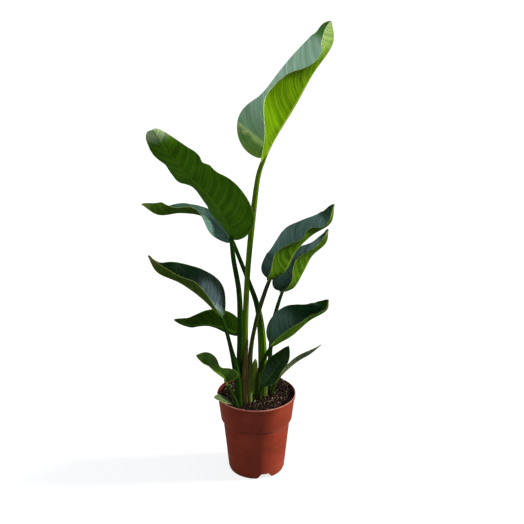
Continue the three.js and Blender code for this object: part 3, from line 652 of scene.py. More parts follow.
def drain_hole(turn):
    circle, radius = DRAIN_HOLES["circle"], DRAIN_HOLES["radius"]
    place = (circle * math.cos(turn) * MM, circle * math.sin(turn) * MM, (POT["recess"] + 1) * MM)
    return begin(bpy.ops.mesh.primitive_cylinder_add, vertices=32, radius=radius * MM, depth=12 * MM,
                 location=place)


def pot():
    shell = pot_shell()
    only(shell)
    bevel = shell.modifiers.new("rounded edges", "BEVEL")
    bevel.width = EDGE_ROUNDING * MM
    bevel.segments = 3
    bevel.limit_method = "ANGLE"
    bevel.angle_limit = math.radians(25)
    bpy.ops.object.modifier_apply(modifier=bevel.name)
    for k in range(NOTCH["count"]):
        cut_away(shell, foot_notch(NOTCH["first_angle"] + 360 * k / NOTCH["count"]))
    for k in range(DRAIN_HOLES["count"]):
        cut_away(shell, drain_hole(2 * math.pi * (k + 0.5) / DRAIN_HOLES["count"]))
    shell.data.materials.append(POT_PLASTIC)
    smooth(shell, 30)
    return settle(shell, "nursery_pot", "pot", "pot")


# Soil

SOIL_RINGS = 64
SOIL_SEGMENTS = 200
SOIL_GAP = 0.4
CRUMB_MODELS = 4
STREWN_RADIUS = POT["rim_radius"] - 6
TIPPED = 0.6


def stems_at_soil():
    """Where each stalk and sheath passes through the soil's surface, with its half-width there."""
    found = []
    for group in (STALKS, SHEATHS):
        for name, part in group.items():
            line, size = list(part["line"]), list(part["size"])
            if len(line) == 1:
                line.append(LEAVES[name]["rib"][0])
                size.append(size[0])
            t = np.linspace(0, 1, 80)
            points = along(line, t)
            k = int(np.argmin(np.abs(points[:, 2] - SOIL_LEVEL)))
            found.append((*points[k][:2], float(np.max(along(size, t)[k]))))
    return found


def on_heap(x, y):
    """1 at the middle of the heap, and less away from it."""
    away = (x - HEAP["x"]) ** 2 + (y - HEAP["y"]) ** 2
    return math.exp(-away / (2 * HEAP["spread"] ** 2))


def soil_height(x, y, stems):
    """The heap, lumps and grains, and soil banked up around each stem."""
    fallen = float(ease(HEAP["falls_from"], INNER_RIM, math.hypot(x, y)))
    heap = HEAP["height"] * on_heap(x, y) * (1 - (1 - HEAP["left_at_wall"]) * fallen)
    lumps = LUMPS["height"] * noise.fractal(Vector((x, y, 0)) / LUMPS["size"], 1, 2, 4)
    grains = GRAINS["height"] * noise.noise(Vector((x, y, 7)) / GRAINS["size"])
    banked = sum(BANKED["height"] * math.exp(-max(math.hypot(x - sx, y - sy) - r, 0) / BANKED["reach"])
                 for sx, sy, r in stems)
    return SOIL_LEVEL + heap + lumps + grains + min(banked, BANKED["most"])


def soil_body(stems):
    """A disc of loose mix that dips a little at the pot's wall, with its sides and underside."""
    edge = INNER_RIM - SOIL_GAP
    low = POT_FLOOR + SOIL_GAP
    rings = [(edge * k / SOIL_RINGS, None) for k in range(SOIL_RINGS + 1)]
    rings += [(POT["band_radius"] - POT["wall"] - SOIL_GAP, POT["band_bottom"]),
              (POT["body_radius"] - POT["wall"] - SOIL_GAP, POT["body_top"]),
              (POT["foot_radius"] + 2.2, low), (0, low)]
    turns = np.linspace(0, 2 * math.pi, SOIL_SEGMENTS + 1)
    points = np.zeros((len(rings), SOIL_SEGMENTS + 1, 3))
    for i, (radius, z) in enumerate(rings):
        for k, turn in enumerate(turns):
            x, y = radius * math.cos(turn), radius * math.sin(turn)
            if k == SOIL_SEGMENTS or radius == 0 and k:
                points[i, k] = points[i, 0]
            else:
                points[i, k] = (x, y, soil_height(x, y, stems) if z is None else z)
    piece = rolled_sheet(points, {})
    piece.data.materials.append(POTTING_MIX)
    smooth(piece, 80)
    return settle(piece, "potting_soil", "soil", "soil")


def crumb(name, subdivisions, shape, roughness, seed):
    """One crumb, modelled once: a ball of few faces, stretched to its shape and dented at random."""
    made = begin(bpy.ops.mesh.primitive_ico_sphere_add, subdivisions=subdivisions, radius=1)
    made.name = name
    start_editing()
    bpy.ops.transform.vertex_random(offset=roughness, uniform=0.6, normal=0.4, seed=seed)
    bpy.ops.transform.resize(value=shape, center_override=(0, 0, 0))
    end_editing(face_outwards=False)
    return made


def strewn(name, count, size, shape, finish, stems, seed, subdivisions=1, roughness=0.35, piled=0.0):
    """Copies of a few crumbs, each with its own mesh, turned and sized at random, lying on the soil as one
    piece. size: from the smallest half-length to the largest, with more small ones. piled: how high some of
    them lie on others, most of all on the heap."""
    draw = random.Random(seed)
    models = [crumb(f"{name} model {k}", subdivisions, shape, roughness, seed + k)
              for k in range(CRUMB_MODELS)]
    copies = []
    while len(copies) < count:
        radius = STREWN_RADIUS * math.sqrt(draw.random())
        turn = draw.uniform(0, 2 * math.pi)
        x, y = radius * math.cos(turn), radius * math.sin(turn)
        half = size[0] + (size[1] - size[0]) * draw.random() ** 1.6
        reach = half * shape[0]
        if any(math.hypot(x - sx, y - sy) < r + 0.5 * reach for sx, sy, r in stems):
            continue
        lift = piled * draw.random() * (0.25 + 0.75 * on_heap(x, y))
        model = draw.choice(models)
        copy = model.copy()
        copy.data = model.data.copy()
        bpy.context.scene.collection.objects.link(copy)
        copy.location = Vector((x, y, soil_height(x, y, stems) + 0.3 * half * shape[2] + lift)) * MM
        copy.rotation_euler = (draw.uniform(-TIPPED, TIPPED), draw.uniform(-TIPPED, TIPPED),
                               draw.uniform(0, 2 * math.pi))
        copy.scale = (half * MM,) * 3
        copies.append(copy)
    for model in models:
        bpy.data.objects.remove(model, do_unlink=True)
    bpy.ops.object.select_all(action="DESELECT")
    for copy in copies:
        copy.select_set(True)
    bpy.context.view_layer.objects.active = copies[0]
    bpy.ops.object.join()
    piece = bpy.context.object
    bpy.ops.object.transform_apply(location=True, rotation=True, scale=True)
    piece.data.materials.append(finish)
    smooth(piece, 60)
    return settle(piece, name, "soil")


# Finishes

class Bench:
    """Lays out the nodes of one finish or effect."""

    def __init__(self, tree):
        self.tree = tree

    def put(self, kind, output=0, settings=None, **inputs):
        """Adds a node, sets or links its inputs by name or number, and hands back one of its outputs."""
        made = self.tree.nodes.new("ShaderNode" + kind)
        for name, value in (settings or {}).items():
            setattr(made, name, value)
        self.feed(made, inputs)
        return made.outputs[output]

    def feed(self, made, inputs):
        for name, value in inputs.items():
            socket = made.inputs[int(name[1:]) if name[1:].isdigit() else name.replace("_", " ")]
            if isinstance(value, bpy.types.NodeSocket):
                self.tree.links.new(value, socket)
            else:
                socket.default_value = value

    def link(self, output, socket):
        self.tree.links.new(output, socket)

    def scaled(self, vector, x, y, z):
        return self.put("VectorMath", settings={"operation": "MULTIPLY"}, i0=vector, i1=(x, y, z))

    def noise(self, vector, scale=1.0, detail=2.0, roughness=0.5):
        return self.put("TexNoise", Vector=vector, Scale=scale, Detail=detail, Roughness=roughness)

    def span(self, value, low, high, to_low=0.0, to_high=1.0):
        """Stretches a value from one range to another, eased at both ends."""
        return self.put("MapRange", settings={"interpolation_type": "SMOOTHSTEP"}, Value=value,
                        From_Min=low, From_Max=high, To_Min=to_low, To_Max=to_high)

    def cloud(self, vector, stretch, low, high, detail=2.0, roughness=0.5, to_low=0.0, to_high=1.0):
        """Noise at its own scale along each axis, cut off below and above."""
        grain = self.noise(self.scaled(vector, *stretch), detail=detail, roughness=roughness)
        return self.span(grain, low, high, to_low, to_high)

    def mottle(self, patch_size, speck_size):
        """Soft patches and small specks of these sizes, in metres."""
        return self.effect(MOTTLE, ("Patches", "Specks"), Patch_size=patch_size, Speck_size=speck_size)

    def mix(self, share, first, second):
        return self.put("Mix", output=2, settings={"data_type": "RGBA"}, i0=share, i6=first, i7=second)

    def between(self, share, first, second):
        """A colour that goes from the first to the second."""
        return self.mix(share, colour(*first), colour(*second))

    def lay(self, body, share, rgb):
        """Lays a colour over the body's, by a share."""
        return self.mix(share, body, colour(*rgb))

    def tint(self, body, share, strength, rgb):
        """Lays a colour over the body's, by a share and its strength."""
        return self.lay(body, self.times(share, strength), rgb)

    def reckon(self, operation, first, second=0.0):
        return self.put("Math", settings={"operation": operation}, i0=first, i1=second)

    def sum(self, first, *others):
        for other in others:
            first = self.reckon("ADD", first, other)
        return first

    def less(self, first, second):
        return self.reckon("SUBTRACT", first, second)

    def times(self, first, second):
        return self.reckon("MULTIPLY", first, second)

    def over(self, first, second):
        return self.reckon("DIVIDE", first, second)

    def sine(self, angle):
        return self.reckon("SINE", angle)

    def towards(self, way, aim):
        """How nearly a way points along an aim: 1 when it does."""
        return self.put("VectorMath", output="Value", settings={"operation": "DOT_PRODUCT"}, i0=way, i1=aim)

    def part(self, vector, axis):
        return self.put("SeparateXYZ", output=axis, i0=vector)

    def attribute(self, name):
        return self.put("Attribute", output="Vector", settings={"attribute_name": name})

    def effect(self, group, output, **inputs):
        made = self.tree.nodes.new("ShaderNodeGroup")
        made.node_tree = group
        self.feed(made, inputs)
        return [made.outputs[name] for name in output]


def colour(r, g, b):
    """A colour read from the photograph's 0 to 255 scale."""
    parts = [c / 255 for c in (r, g, b)]
    return tuple(c / 12.92 if c <= 0.04045 else ((c + 0.055) / 1.055) ** 2.4 for c in parts) + (1.0,)


def new_effect(name, inputs, outputs):
    """An empty effect that several finishes use, with its named inputs and outputs."""
    tree = bpy.data.node_groups.new(name, "ShaderNodeTree")
    for socket, kind in inputs.items():
        tree.interface.new_socket(socket.replace("_", " "), in_out="INPUT", socket_type=f"NodeSocket{kind}")
    for socket in outputs:
        tree.interface.new_socket(socket, in_out="OUTPUT", socket_type="NodeSocketFloat")
    taken = tree.nodes.new("NodeGroupInput")
    given = tree.nodes.new("NodeGroupOutput")
    return Bench(tree), taken.outputs, given.inputs


MAIN_VEINS_APART = 17
SECOND_VEINS_APART = 3.4
FINE_VEINS_APART = 1.2


def vein_effect():
    """The side veins of a blade: strong ones, weaker ones between them, the finest net of parallel lines,
    streaks and broad soft pleats."""
    bench, taken, given = new_effect(
        "side veins", dict(Veins="Vector"), ("Main", "Second", "Fine", "Streaks", "Pleats"))
    vein = bench.part(taken["Veins"], 1)
    stray = bench.noise(bench.scaled(taken["Veins"], 0.012, 0.06, 0), detail=1)
    strayed = bench.sum(vein, bench.times(stray, 9.0))

    def lines(spacing, thinness, seed):
        """Lines of uneven strength at an even spacing."""
        wave = bench.sine(bench.times(strayed, 2 * math.pi / spacing))
        stretched = bench.scaled(taken["Veins"], 0.006, 0.9 / spacing, 0)
        where = bench.put("VectorMath", i0=stretched, i1=(seed, seed, 0))
        line = bench.span(wave, thinness, 1.0)
        return bench.times(line, bench.span(bench.noise(where, detail=1), 0.35, 0.65))

    bench.link(lines(MAIN_VEINS_APART, 0.9, 0.0), given["Main"])
    bench.link(lines(SECOND_VEINS_APART, 0.3, 5.0), given["Second"])
    fine = bench.sine(bench.times(strayed, 2 * math.pi / FINE_VEINS_APART))
    bench.link(bench.span(fine, -1.0, 1.0), given["Fine"])
    streaks = bench.cloud(taken["Veins"], (0.01, 0.3, 0), 0.3, 0.7, detail=3, roughness=0.6)
    bench.link(streaks, given["Streaks"])
    bench.link(bench.cloud(taken["Veins"], (0.005, 0.075, 0), 0.3, 0.7, detail=1), given["Pleats"])
    return bench.tree


def edge_effect():
    """Where a blade's midrib and thin pale margin lie."""
    bench, taken, given = new_effect(
        "rib and margin", dict(Edges="Vector", Margin="Float"), ("Rib", "Margin"))
    from_rib, from_margin = bench.part(taken["Edges"], 0), bench.part(taken["Edges"], 1)
    bench.link(bench.span(from_rib, 0.75, 1.35, 1.0, 0.0), given["Rib"])
    share = bench.over(from_margin, taken["Margin"])
    bench.link(bench.span(share, 0.5, 1.2, 1.0, 0.0), given["Margin"])
    return bench.tree


def mottle_effect():
    """Large soft patches and small specks that run through a whole piece."""
    bench, taken, given = new_effect(
        "mottle", dict(Patch_size="Float", Speck_size="Float"), ("Patches", "Specks"))
    where = bench.put("TexCoord", output="Object")
    patches = bench.noise(where, bench.over(1.0, taken["Patch size"]), 3.0)
    bench.link(bench.span(patches, 0.3, 0.7), given["Patches"])
    specks = bench.noise(where, bench.over(1.0, taken["Speck size"]), 2.0)
    bench.link(bench.span(specks, 0.62, 0.75), given["Specks"])
    return bench.tree


SIDE_VEINS = vein_effect()
RIB_AND_MARGIN = edge_effect()
MOTTLE = mottle_effect()


def new_finish(name):
    """An empty finish: its shader and a bench to build on."""
    material = bpy.data.materials.new(name)
    material.use_nodes = True
    shader = material.node_tree.nodes["Principled BSDF"]
    return material, shader, Bench(material.node_tree)


def wire(bench, shader, base, roughness, height, distance, specular, strength=1.0):
    bench.link(base, shader.inputs["Base Color"])
    bench.link(roughness, shader.inputs["Roughness"])
    shader.inputs["Specular IOR Level"].default_value = specular
    normal = bench.put("Bump", Height=height, Distance=distance, Strength=strength)
    bench.link(normal, shader.inputs["Normal"])


MARGIN = (168, 182, 96)
YOUNG_MARGIN = (214, 228, 176)


def blade_finish(name, side, deep, fresh, base, rib, tip, gloss, shine=None, tip_from=0.97, tip_reach=0.1,
                 pale=None, pale_over=(0.1, 0.35, 0.8, 0.97), pale_reach=1.5, patch=None, vein=None,
                 margin=MARGIN, margin_share=0.55):
    """One side of a blade. base and tip tint its ends. pale is painted reflection: a sheen that tints a
    stretch along soft streaks, out to pale_reach of the way to the margin. patch is painted light on the
    blade near its stalk, fading to painted shade at the base, up to a painted highlight along a side vein."""
    upper = side == "upper"
    material, shader, bench = new_finish(f"{name} blade, {side} side")
    veins = bench.attribute("veins")
    main, second, fine, streaks, pleats = bench.effect(
        SIDE_VEINS, ("Main", "Second", "Fine", "Streaks", "Pleats"), Veins=veins)
    edges = bench.attribute("edges")
    on_rib, on_margin = bench.effect(RIB_AND_MARGIN, ("Rib", "Margin"), Edges=edges, Margin=1.0)
    patches, specks = bench.mottle(0.03, 0.0009)
    from_base = bench.part(veins, 2)
    tone = bench.sum(bench.times(streaks, 0.25), bench.times(pleats, 0.45), bench.times(patches, 0.3))
    body = bench.between(tone, deep, fresh)
    across = bench.part(edges, 2)
    # pale is painted reflection: a sheen in soft streaks along part of the blade, near the rib
    if pale:
        start, full, falls, end = pale_over
        middle = bench.times(bench.span(from_base, start, full), bench.span(from_base, end, falls))
        between = bench.sum(bench.times(streaks, 0.4), bench.span(pleats, 0.35, 0.65, 0.22, 0.48))
        near_rib = bench.span(across, pale_reach, pale_reach - 0.4)
        body = bench.tint(body, bench.times(middle, between), near_rib, pale)
    # painted light on the lobe near the stalk, fading to painted shade at its base, with a painted highlight
    # along a side vein
    if patch:
        lobe = bench.sum(from_base, bench.times(across, -0.06))
        lit = bench.span(bench.sum(lobe, bench.times(patches, 0.04)), 0.06, 0.105)
        mottled = bench.between(lit, LOBE_SHADE, patch)
        body = bench.mix(bench.span(lobe, 0.09, 0.08, 0.0, 0.95), body, mottled)
        line = bench.times(bench.span(lobe, 0.076, 0.084), bench.span(lobe, 0.096, 0.09))
        body = bench.tint(body, line, 0.8, LOBE_HIGHLIGHT)
    body = bench.lay(body, bench.span(from_base, 0.0, 0.16, 0.7, 0.0), base)
    at_tip = bench.sum(from_base, bench.times(streaks, 0.03))
    body = bench.lay(body, bench.span(at_tip, tip_from, tip_from + tip_reach, 0.0, 0.85), tip)
    body = bench.tint(body, main, 0.3 if upper else 0.5, vein or rib)
    body = bench.tint(body, second, 0.3, deep)
    body = bench.tint(body, fine, 0.1, deep)
    body = bench.tint(body, specks, 0.1, rib)
    body = bench.tint(body, on_rib, 0.7 if upper else 0.85, rib)
    body = bench.tint(body, on_margin, margin_share, margin)
    rough = bench.sum(gloss, bench.times(patches, 0.1), bench.times(specks, 0.08))
    height = bench.sum(bench.times(fine, 0.08), bench.times(streaks, 0.42), bench.times(pleats, 1.1),
                       bench.times(second, -0.16), bench.times(main, -0.25 if upper else 0.5))
    off_rib = bench.less(1.0, on_rib)
    shine = shine or (0.5 if upper else 0.06)
    wire(bench, shader, body, rough, bench.times(height, off_rib), 0.001, shine)
    return material


# Colours of the young lobe's painted highlight and painted shade
LOBE_HIGHLIGHT = (206, 226, 150)
LOBE_SHADE = (50, 104, 0)
# In these tones pale is painted reflection, laid on as streaks of sheen.
BLADE_TONES = {
    "young": (
        dict(deep=(112, 150, 98), fresh=(150, 188, 138), base=(140, 176, 40), rib=(168, 196, 112),
             tip=(64, 132, 0), gloss=0.34, tip_from=0.77, pale=(204, 234, 214),
             pale_over=(0.1, 0.35, 0.72, 0.86), patch=(232, 250, 150), margin=YOUNG_MARGIN, margin_share=0.9),
        # the pale tip tint here is painted reflection, where the tip turns up to the light
        dict(deep=(70, 106, 2), fresh=(110, 150, 4), base=(120, 152, 10), rib=(134, 166, 40),
             tip=(166, 194, 116), gloss=0.45, tip_from=0.66, tip_reach=0.34, margin=YOUNG_MARGIN,
             margin_share=0.9),
    ),
    "tall": (
        # on both sides the pale tip tint is painted reflection, where the tip turns up to the light
        dict(deep=(24, 58, 14), fresh=(46, 84, 26), base=(60, 100, 20), rib=(90, 124, 44), tip=(120, 146, 90),
             gloss=0.3, tip_from=0.93),
        dict(deep=(38, 74, 1), fresh=(80, 130, 8), base=(60, 104, 2), rib=(76, 116, 14), tip=(176, 198, 150),
             gloss=0.42, tip_from=0.88, vein=(108, 150, 48)),
    ),
    "mature": (
        dict(deep=(16, 46, 18), fresh=(30, 66, 34), base=(40, 78, 34), rib=(70, 104, 46), tip=(44, 80, 8),
             gloss=0.27, tip_from=0.72, pale=(82, 116, 96), pale_over=(-0.1, 0.0, 0.1, 0.5)),
        dict(deep=(44, 78, 2), fresh=(76, 112, 12), base=(74, 112, 8), rib=(98, 130, 34), tip=(110, 106, 44),
             gloss=0.44, tip_from=0.88),
    ),
    "dark": (
        dict(deep=(6, 28, 6), fresh=(14, 42, 10), base=(30, 64, 20), rib=(30, 60, 14), tip=(40, 66, 14),
             gloss=0.24, shine=0.2, pale=(176, 200, 200), pale_over=(-0.1, 0.0, 0.28, 0.4), pale_reach=0.85),
        dict(deep=(46, 70, 10), fresh=(80, 102, 28), base=(80, 116, 14), rib=(102, 130, 40),
             tip=(126, 112, 64), gloss=0.44, tip_from=0.86),
    ),
    # Bluish waxy bloom, its blue partly painted reflection, with painted sheen in streaks
    "waxy_and_painted_sheen": (
        dict(deep=(34, 66, 46), fresh=(62, 98, 78), base=(56, 88, 60), rib=(90, 118, 78), tip=(40, 72, 12),
             gloss=0.3, tip_from=0.84, pale=(106, 138, 128), pale_over=(-0.1, 0.0, 0.3, 0.7)),
        dict(deep=(38, 66, 2), fresh=(80, 116, 16), base=(60, 92, 4), rib=(104, 134, 40), tip=(118, 134, 66),
             gloss=0.44, tip_from=0.88),
    ),
    "shaded": (
        dict(deep=(16, 42, 8), fresh=(32, 62, 14), base=(40, 70, 10), rib=(56, 86, 30), tip=(40, 66, 10),
             gloss=0.36, shine=0.2, margin_share=0.3),
        dict(deep=(32, 62, 1), fresh=(54, 88, 6), base=(56, 90, 6), rib=(76, 108, 24), tip=(60, 74, 20),
             gloss=0.46),
    ),
    "small": (
        dict(deep=(42, 68, 4), fresh=(68, 98, 8), base=(74, 110, 6), rib=(80, 110, 36), tip=(70, 90, 20),
             gloss=0.42, shine=0.2),
        dict(deep=(52, 82, 6), fresh=(78, 108, 14), base=(82, 114, 12), rib=(92, 120, 30), tip=(80, 100, 30),
             gloss=0.5),
    ),
    "dull": (
        dict(deep=(60, 78, 44), fresh=(88, 106, 66), base=(76, 94, 46), rib=(104, 120, 76),
             tip=(104, 106, 76), gloss=0.5, shine=0.25),
        dict(deep=(74, 90, 58), fresh=(102, 116, 84), base=(84, 100, 50), rib=(114, 126, 84),
             tip=(116, 114, 90), gloss=0.55),
    ),
}
BLADE_FINISHES = {
    name: tuple(blade_finish(name, side, **tones) for side, tones in zip(("upper", "under"), pair))
    for name, pair in BLADE_TONES.items()
}


DRY_EDGE = (128, 104, 62)
GREEN_NECK = (76, 108, 30)


def stalk_finish(name, deep, fresh, foot, neck, gloss, foot_over=(178.0, 340.0), sheath_edge=DRY_EDGE):
    """A stalk: fibres along it, a sheath edge that dries pale and brown, a brighter foot that fades over a
    stretch of heights in millimetres, and a pale neck under the blade."""
    material, shader, bench = new_finish(name)
    stem_values, seam = bench.attribute("stem"), bench.attribute("seam")
    fibres = bench.cloud(stem_values, (0.9, 0.012, 0), 0.3, 0.7, detail=3, roughness=0.6)
    patches, specks = bench.mottle(0.04, 0.0011)
    tone = bench.sum(bench.times(fibres, 0.6), bench.times(patches, 0.4))
    body = bench.between(tone, deep, fresh)
    body = bench.lay(body, bench.span(bench.part(seam, 2), *foot_over, 0.8, 0.0), foot)
    body = bench.lay(body, bench.span(bench.part(stem_values, 2), 0.8, 0.9, 0.0, 0.6), neck)
    edge = bench.times(bench.span(bench.part(seam, 0), 0.0, 1.6, 1.0, 0.0), bench.part(seam, 1))
    body = bench.tint(body, edge, 0.6, sheath_edge)
    body = bench.tint(body, specks, 0.25, (92, 84, 44))
    rough = bench.sum(gloss, bench.times(patches, 0.12))
    wire(bench, shader, body, rough, bench.sum(fibres, bench.times(specks, 0.3)), 0.00035, 0.09)
    return material


STALK_FINISHES = {
    "young": stalk_finish("young stalk", (66, 98, 2), (100, 132, 6), (112, 132, 12), (206, 226, 160), 0.4),
    "mature": stalk_finish("mature stalk", (17, 40, 3), (34, 66, 7), (34, 60, 8), GREEN_NECK, 0.42),
    # The bright foot of this stalk is painted sunlight.
    "bright": stalk_finish("stalk with painted sunlight on its foot", (17, 40, 3), (34, 66, 7), (84, 124, 8), GREEN_NECK, 0.42,
                           foot_over=(300.0, 380.0), sheath_edge=(96, 124, 30)),
    "pale": stalk_finish("pale sheathed stalk", (36, 44, 10), (60, 68, 22), (104, 126, 52), GREEN_NECK, 0.42,
                         foot_over=(178.0, 310.0)),
    "shoot": stalk_finish("young shoot", (74, 104, 22), (110, 138, 40), (116, 134, 52), (130, 150, 60), 0.4),
}


def dry_sheath_finish():
    """Brown dead fibres with some purple, and a green streak that is still alive."""
    material, shader, bench = new_finish("dried leaf base")
    stem_values = bench.attribute("stem")
    fibres = bench.cloud(stem_values, (1.1, 0.012, 0), 0.3, 0.7, detail=4, roughness=0.7)
    patches, specks = bench.mottle(0.02, 0.001)
    streaks = bench.cloud(stem_values, (0.32, 0.004, 0), 0.42, 0.58)
    body = bench.between(fibres, (64, 36, 22), (124, 96, 52))
    body = bench.tint(body, streaks, 0.7, (88, 98, 40))
    body = bench.tint(body, patches, 0.25, (70, 44, 36))
    body = bench.tint(body, specks, 0.5, (40, 26, 20))
    rough = bench.span(fibres, 0.0, 1.0, 0.7, 0.9)
    wire(bench, shader, body, rough, fibres, 0.0008, 0.15)
    return material


# The middle of the band's wall, as a line of radius over height in metres
WALL_SLOPE = (POT["rim_radius"] - POT["band_radius"] - POT["lip_step"]) / (
    POT["height"] - POT["lip_height"] - POT["band_bottom"])
WALL_START = (POT["band_radius"] - POT["wall"] / 2 - WALL_SLOPE * POT["band_bottom"]) * MM


def pot_finish():
    """Matt moulded plastic with faint flow marks, scuffs, and soil dust near the rim and foot, painted shade
    inside the band, a painted shadow in the groove under the band and a painted highlight along the rim.
    """
    material, shader, bench = new_finish("terracotta-coloured plastic")
    rim, top, band_low, body_top = (
        POT[size] * MM for size in ("rim_radius", "height", "band_bottom", "body_top"))
    where = bench.put("TexCoord", output="Object")
    patches, specks = bench.mottle(0.05, 0.0012)
    body = bench.between(patches, (126, 42, 21), (144, 52, 29))
    flow = bench.cloud(where, (60, 60, 3), 0.35, 0.7, detail=3)
    body = bench.tint(body, flow, 0.18, (104, 36, 22))

    # soil dust near the rim and the foot
    height = bench.part(where, 2)
    flat = bench.scaled(where, 1, 1, 0)
    from_axis = bench.put("VectorMath", output="Value", settings={"operation": "LENGTH"}, i0=flat)
    dust = bench.cloud(where, (40, 40, 90), 0.5, 0.72, detail=5, roughness=0.7)
    near_rim = bench.span(height, top - 22 * MM, top - MM)
    near_foot = bench.span(height, 30 * MM, 0.0)
    dusty = bench.times(dust, bench.sum(near_rim, near_foot, 0.12))
    body = bench.tint(body, dusty, 0.4, (84, 56, 40))

    # painted shade on the inside of the band
    wall_middle = bench.sum(bench.times(height, WALL_SLOPE), WALL_START)
    inside = bench.span(bench.less(from_axis, wall_middle), 0.3 * MM, -0.3 * MM)
    inside = bench.times(inside, bench.span(height, band_low + 2.5 * MM, band_low + 7.5 * MM))
    body = bench.tint(body, inside, 0.8, (64, 26, 26))

    # painted shadow in the groove under the band
    groove = body_top + 6.4 * MM
    above = bench.span(height, groove - 1.5 * MM, groove - 0.7 * MM)
    below = bench.span(height, groove + 1.3 * MM, groove + 0.7 * MM)
    groove_shadow = bench.cloud(where, (22, 22, 8), 0.35, 0.55, to_low=0.45)
    body = bench.tint(body, bench.times(above, below), groove_shadow, (40, 8, 3))
    body = bench.tint(body, specks, 0.25, (186, 108, 84))

    # a painted highlight along the rim's edge, and pale scuffs
    rim_highlight = bench.times(bench.span(height, top - 1.5 * MM, top - 0.4 * MM),
                           bench.span(from_axis, rim - 2 * MM, rim - 0.8 * MM))
    rim_highlight_strength = bench.cloud(where, (30, 30, 30), 0.3, 0.6, detail=3, to_low=0.35, to_high=0.9)
    body = bench.tint(body, rim_highlight, rim_highlight_strength, (214, 156, 140))
    scuffs = bench.cloud(where, (14, 14, 220), 0.62, 0.7, detail=4, roughness=0.65)
    body = bench.tint(body, scuffs, 0.22, (184, 112, 90))

    rough = bench.sum(0.46, bench.times(patches, 0.08), bench.times(dusty, 0.25))
    grain = bench.noise(where, scale=1400, detail=2)
    relief = bench.sum(bench.times(grain, 0.5), bench.times(flow, 0.6))
    wire(bench, shader, body, rough, relief, 0.00025, 0.2)
    shader.inputs["Sheen Weight"].default_value = 0.3
    shader.inputs["Sheen Roughness"].default_value = 0.4
    shader.inputs["Sheen Tint"].default_value = colour(255, 170, 150)
    return material


def mix_finish(name, dark, light, fleck, grain_size, bumps):
    """Peat and bark: dark crumbs, brown fibres and pale flecks."""
    material, shader, bench = new_finish(name)
    where = bench.put("TexCoord", output="Object")
    patches, specks = bench.mottle(0.006, 0.0013)
    grains = bench.noise(where, scale=1 / grain_size, detail=5, roughness=0.7)
    body = bench.between(bench.span(grains, 0.35, 0.68), dark, light)
    body = bench.tint(body, patches, 0.4, dark)
    body = bench.tint(body, specks, 0.55, fleck)
    rough = bench.span(grains, 0.3, 0.7, 0.75, 0.95)
    wire(bench, shader, body, rough, grains, bumps, 0.1)
    return material


POT_PLASTIC = pot_finish()
DRY_SHEATH = dry_sheath_finish()
POTTING_MIX = mix_finish("potting mix", (14, 8, 8), (44, 30, 26), (96, 78, 62), 0.0022, 0.002)
PEAT_CLOD = mix_finish("peat clods", (20, 11, 11), (74, 52, 46), (120, 100, 84), 0.0018, 0.0008)
PEAT_CRUMB = mix_finish("peat crumbs", (24, 14, 12), (88, 68, 56), (150, 130, 106), 0.0018, 0.0008)
PALE_CRUMB = mix_finish("pale crumbs", (84, 72, 56), (146, 130, 106), (180, 168, 150), 0.002, 0.0006)
BARK_CHIP = mix_finish("bark chips", (84, 56, 44), (164, 128, 100), (196, 170, 140), 0.0025, 0.0006)
PERLITE = mix_finish("perlite", (180, 172, 158), (214, 208, 198), (150, 140, 124), 0.0012, 0.0004)


# The plant

for number, (leaf_name, own) in enumerate(LEAVES.items()):
    grown = {**PLAIN_LEAF, **own}
    blade(leaf_name, grown, 100 + 7 * number)
    stalk(leaf_name, grown)

# Old leaf bases and the shoot are wrapped up to their ends, and none opens to a channel.
FRONT = (0.3, -1, 0)
for piece_name, cad_node, own_finish, own_slot in (
        ("dried_leaf_base", "sheath_dry", DRY_SHEATH, "dry_sheath"),
        ("rounded_sheath", "sheath_rounded", STALK_FINISHES["shoot"], "stalk"),
        ("rolled_young_leaf", "rolled_shoot", STALK_FINISHES["shoot"], "stalk_young")):
    stem(piece_name, cad_node, **SHEATHS[cad_node], facing=FRONT, finish=own_finish, slot=own_slot,
         wrap_top=1.2, channel_from=2)

pot()
STEMS = stems_at_soil()
soil_body(STEMS)
strewn("soil_clods", 380, (1.3, 3.6), (1, 0.8, 0.7), PEAT_CLOD, STEMS, 21, subdivisions=2, piled=3)
strewn("soil_crumbs", 1500, (0.6, 1.5), (1, 0.8, 0.8), PEAT_CRUMB, STEMS, 33, piled=3)
strewn("pale_crumbs", 300, (0.7, 2.1), (1, 0.8, 0.7), PALE_CRUMB, STEMS, 39, piled=4)
strewn("bark_chips", 150, (1.6, 4.0), (1, 0.5, 0.25), BARK_CHIP, STEMS, 47, piled=3)
strewn("peat_fibres", 90, (2.5, 6), (1, 0.07, 0.07), PALE_CRUMB, STEMS, 53, roughness=0.1, piled=3)
strewn("perlite_grains", 60, (0.6, 1.5), (1, 0.9, 0.85), PERLITE, STEMS, 59, piled=3)


# Studio

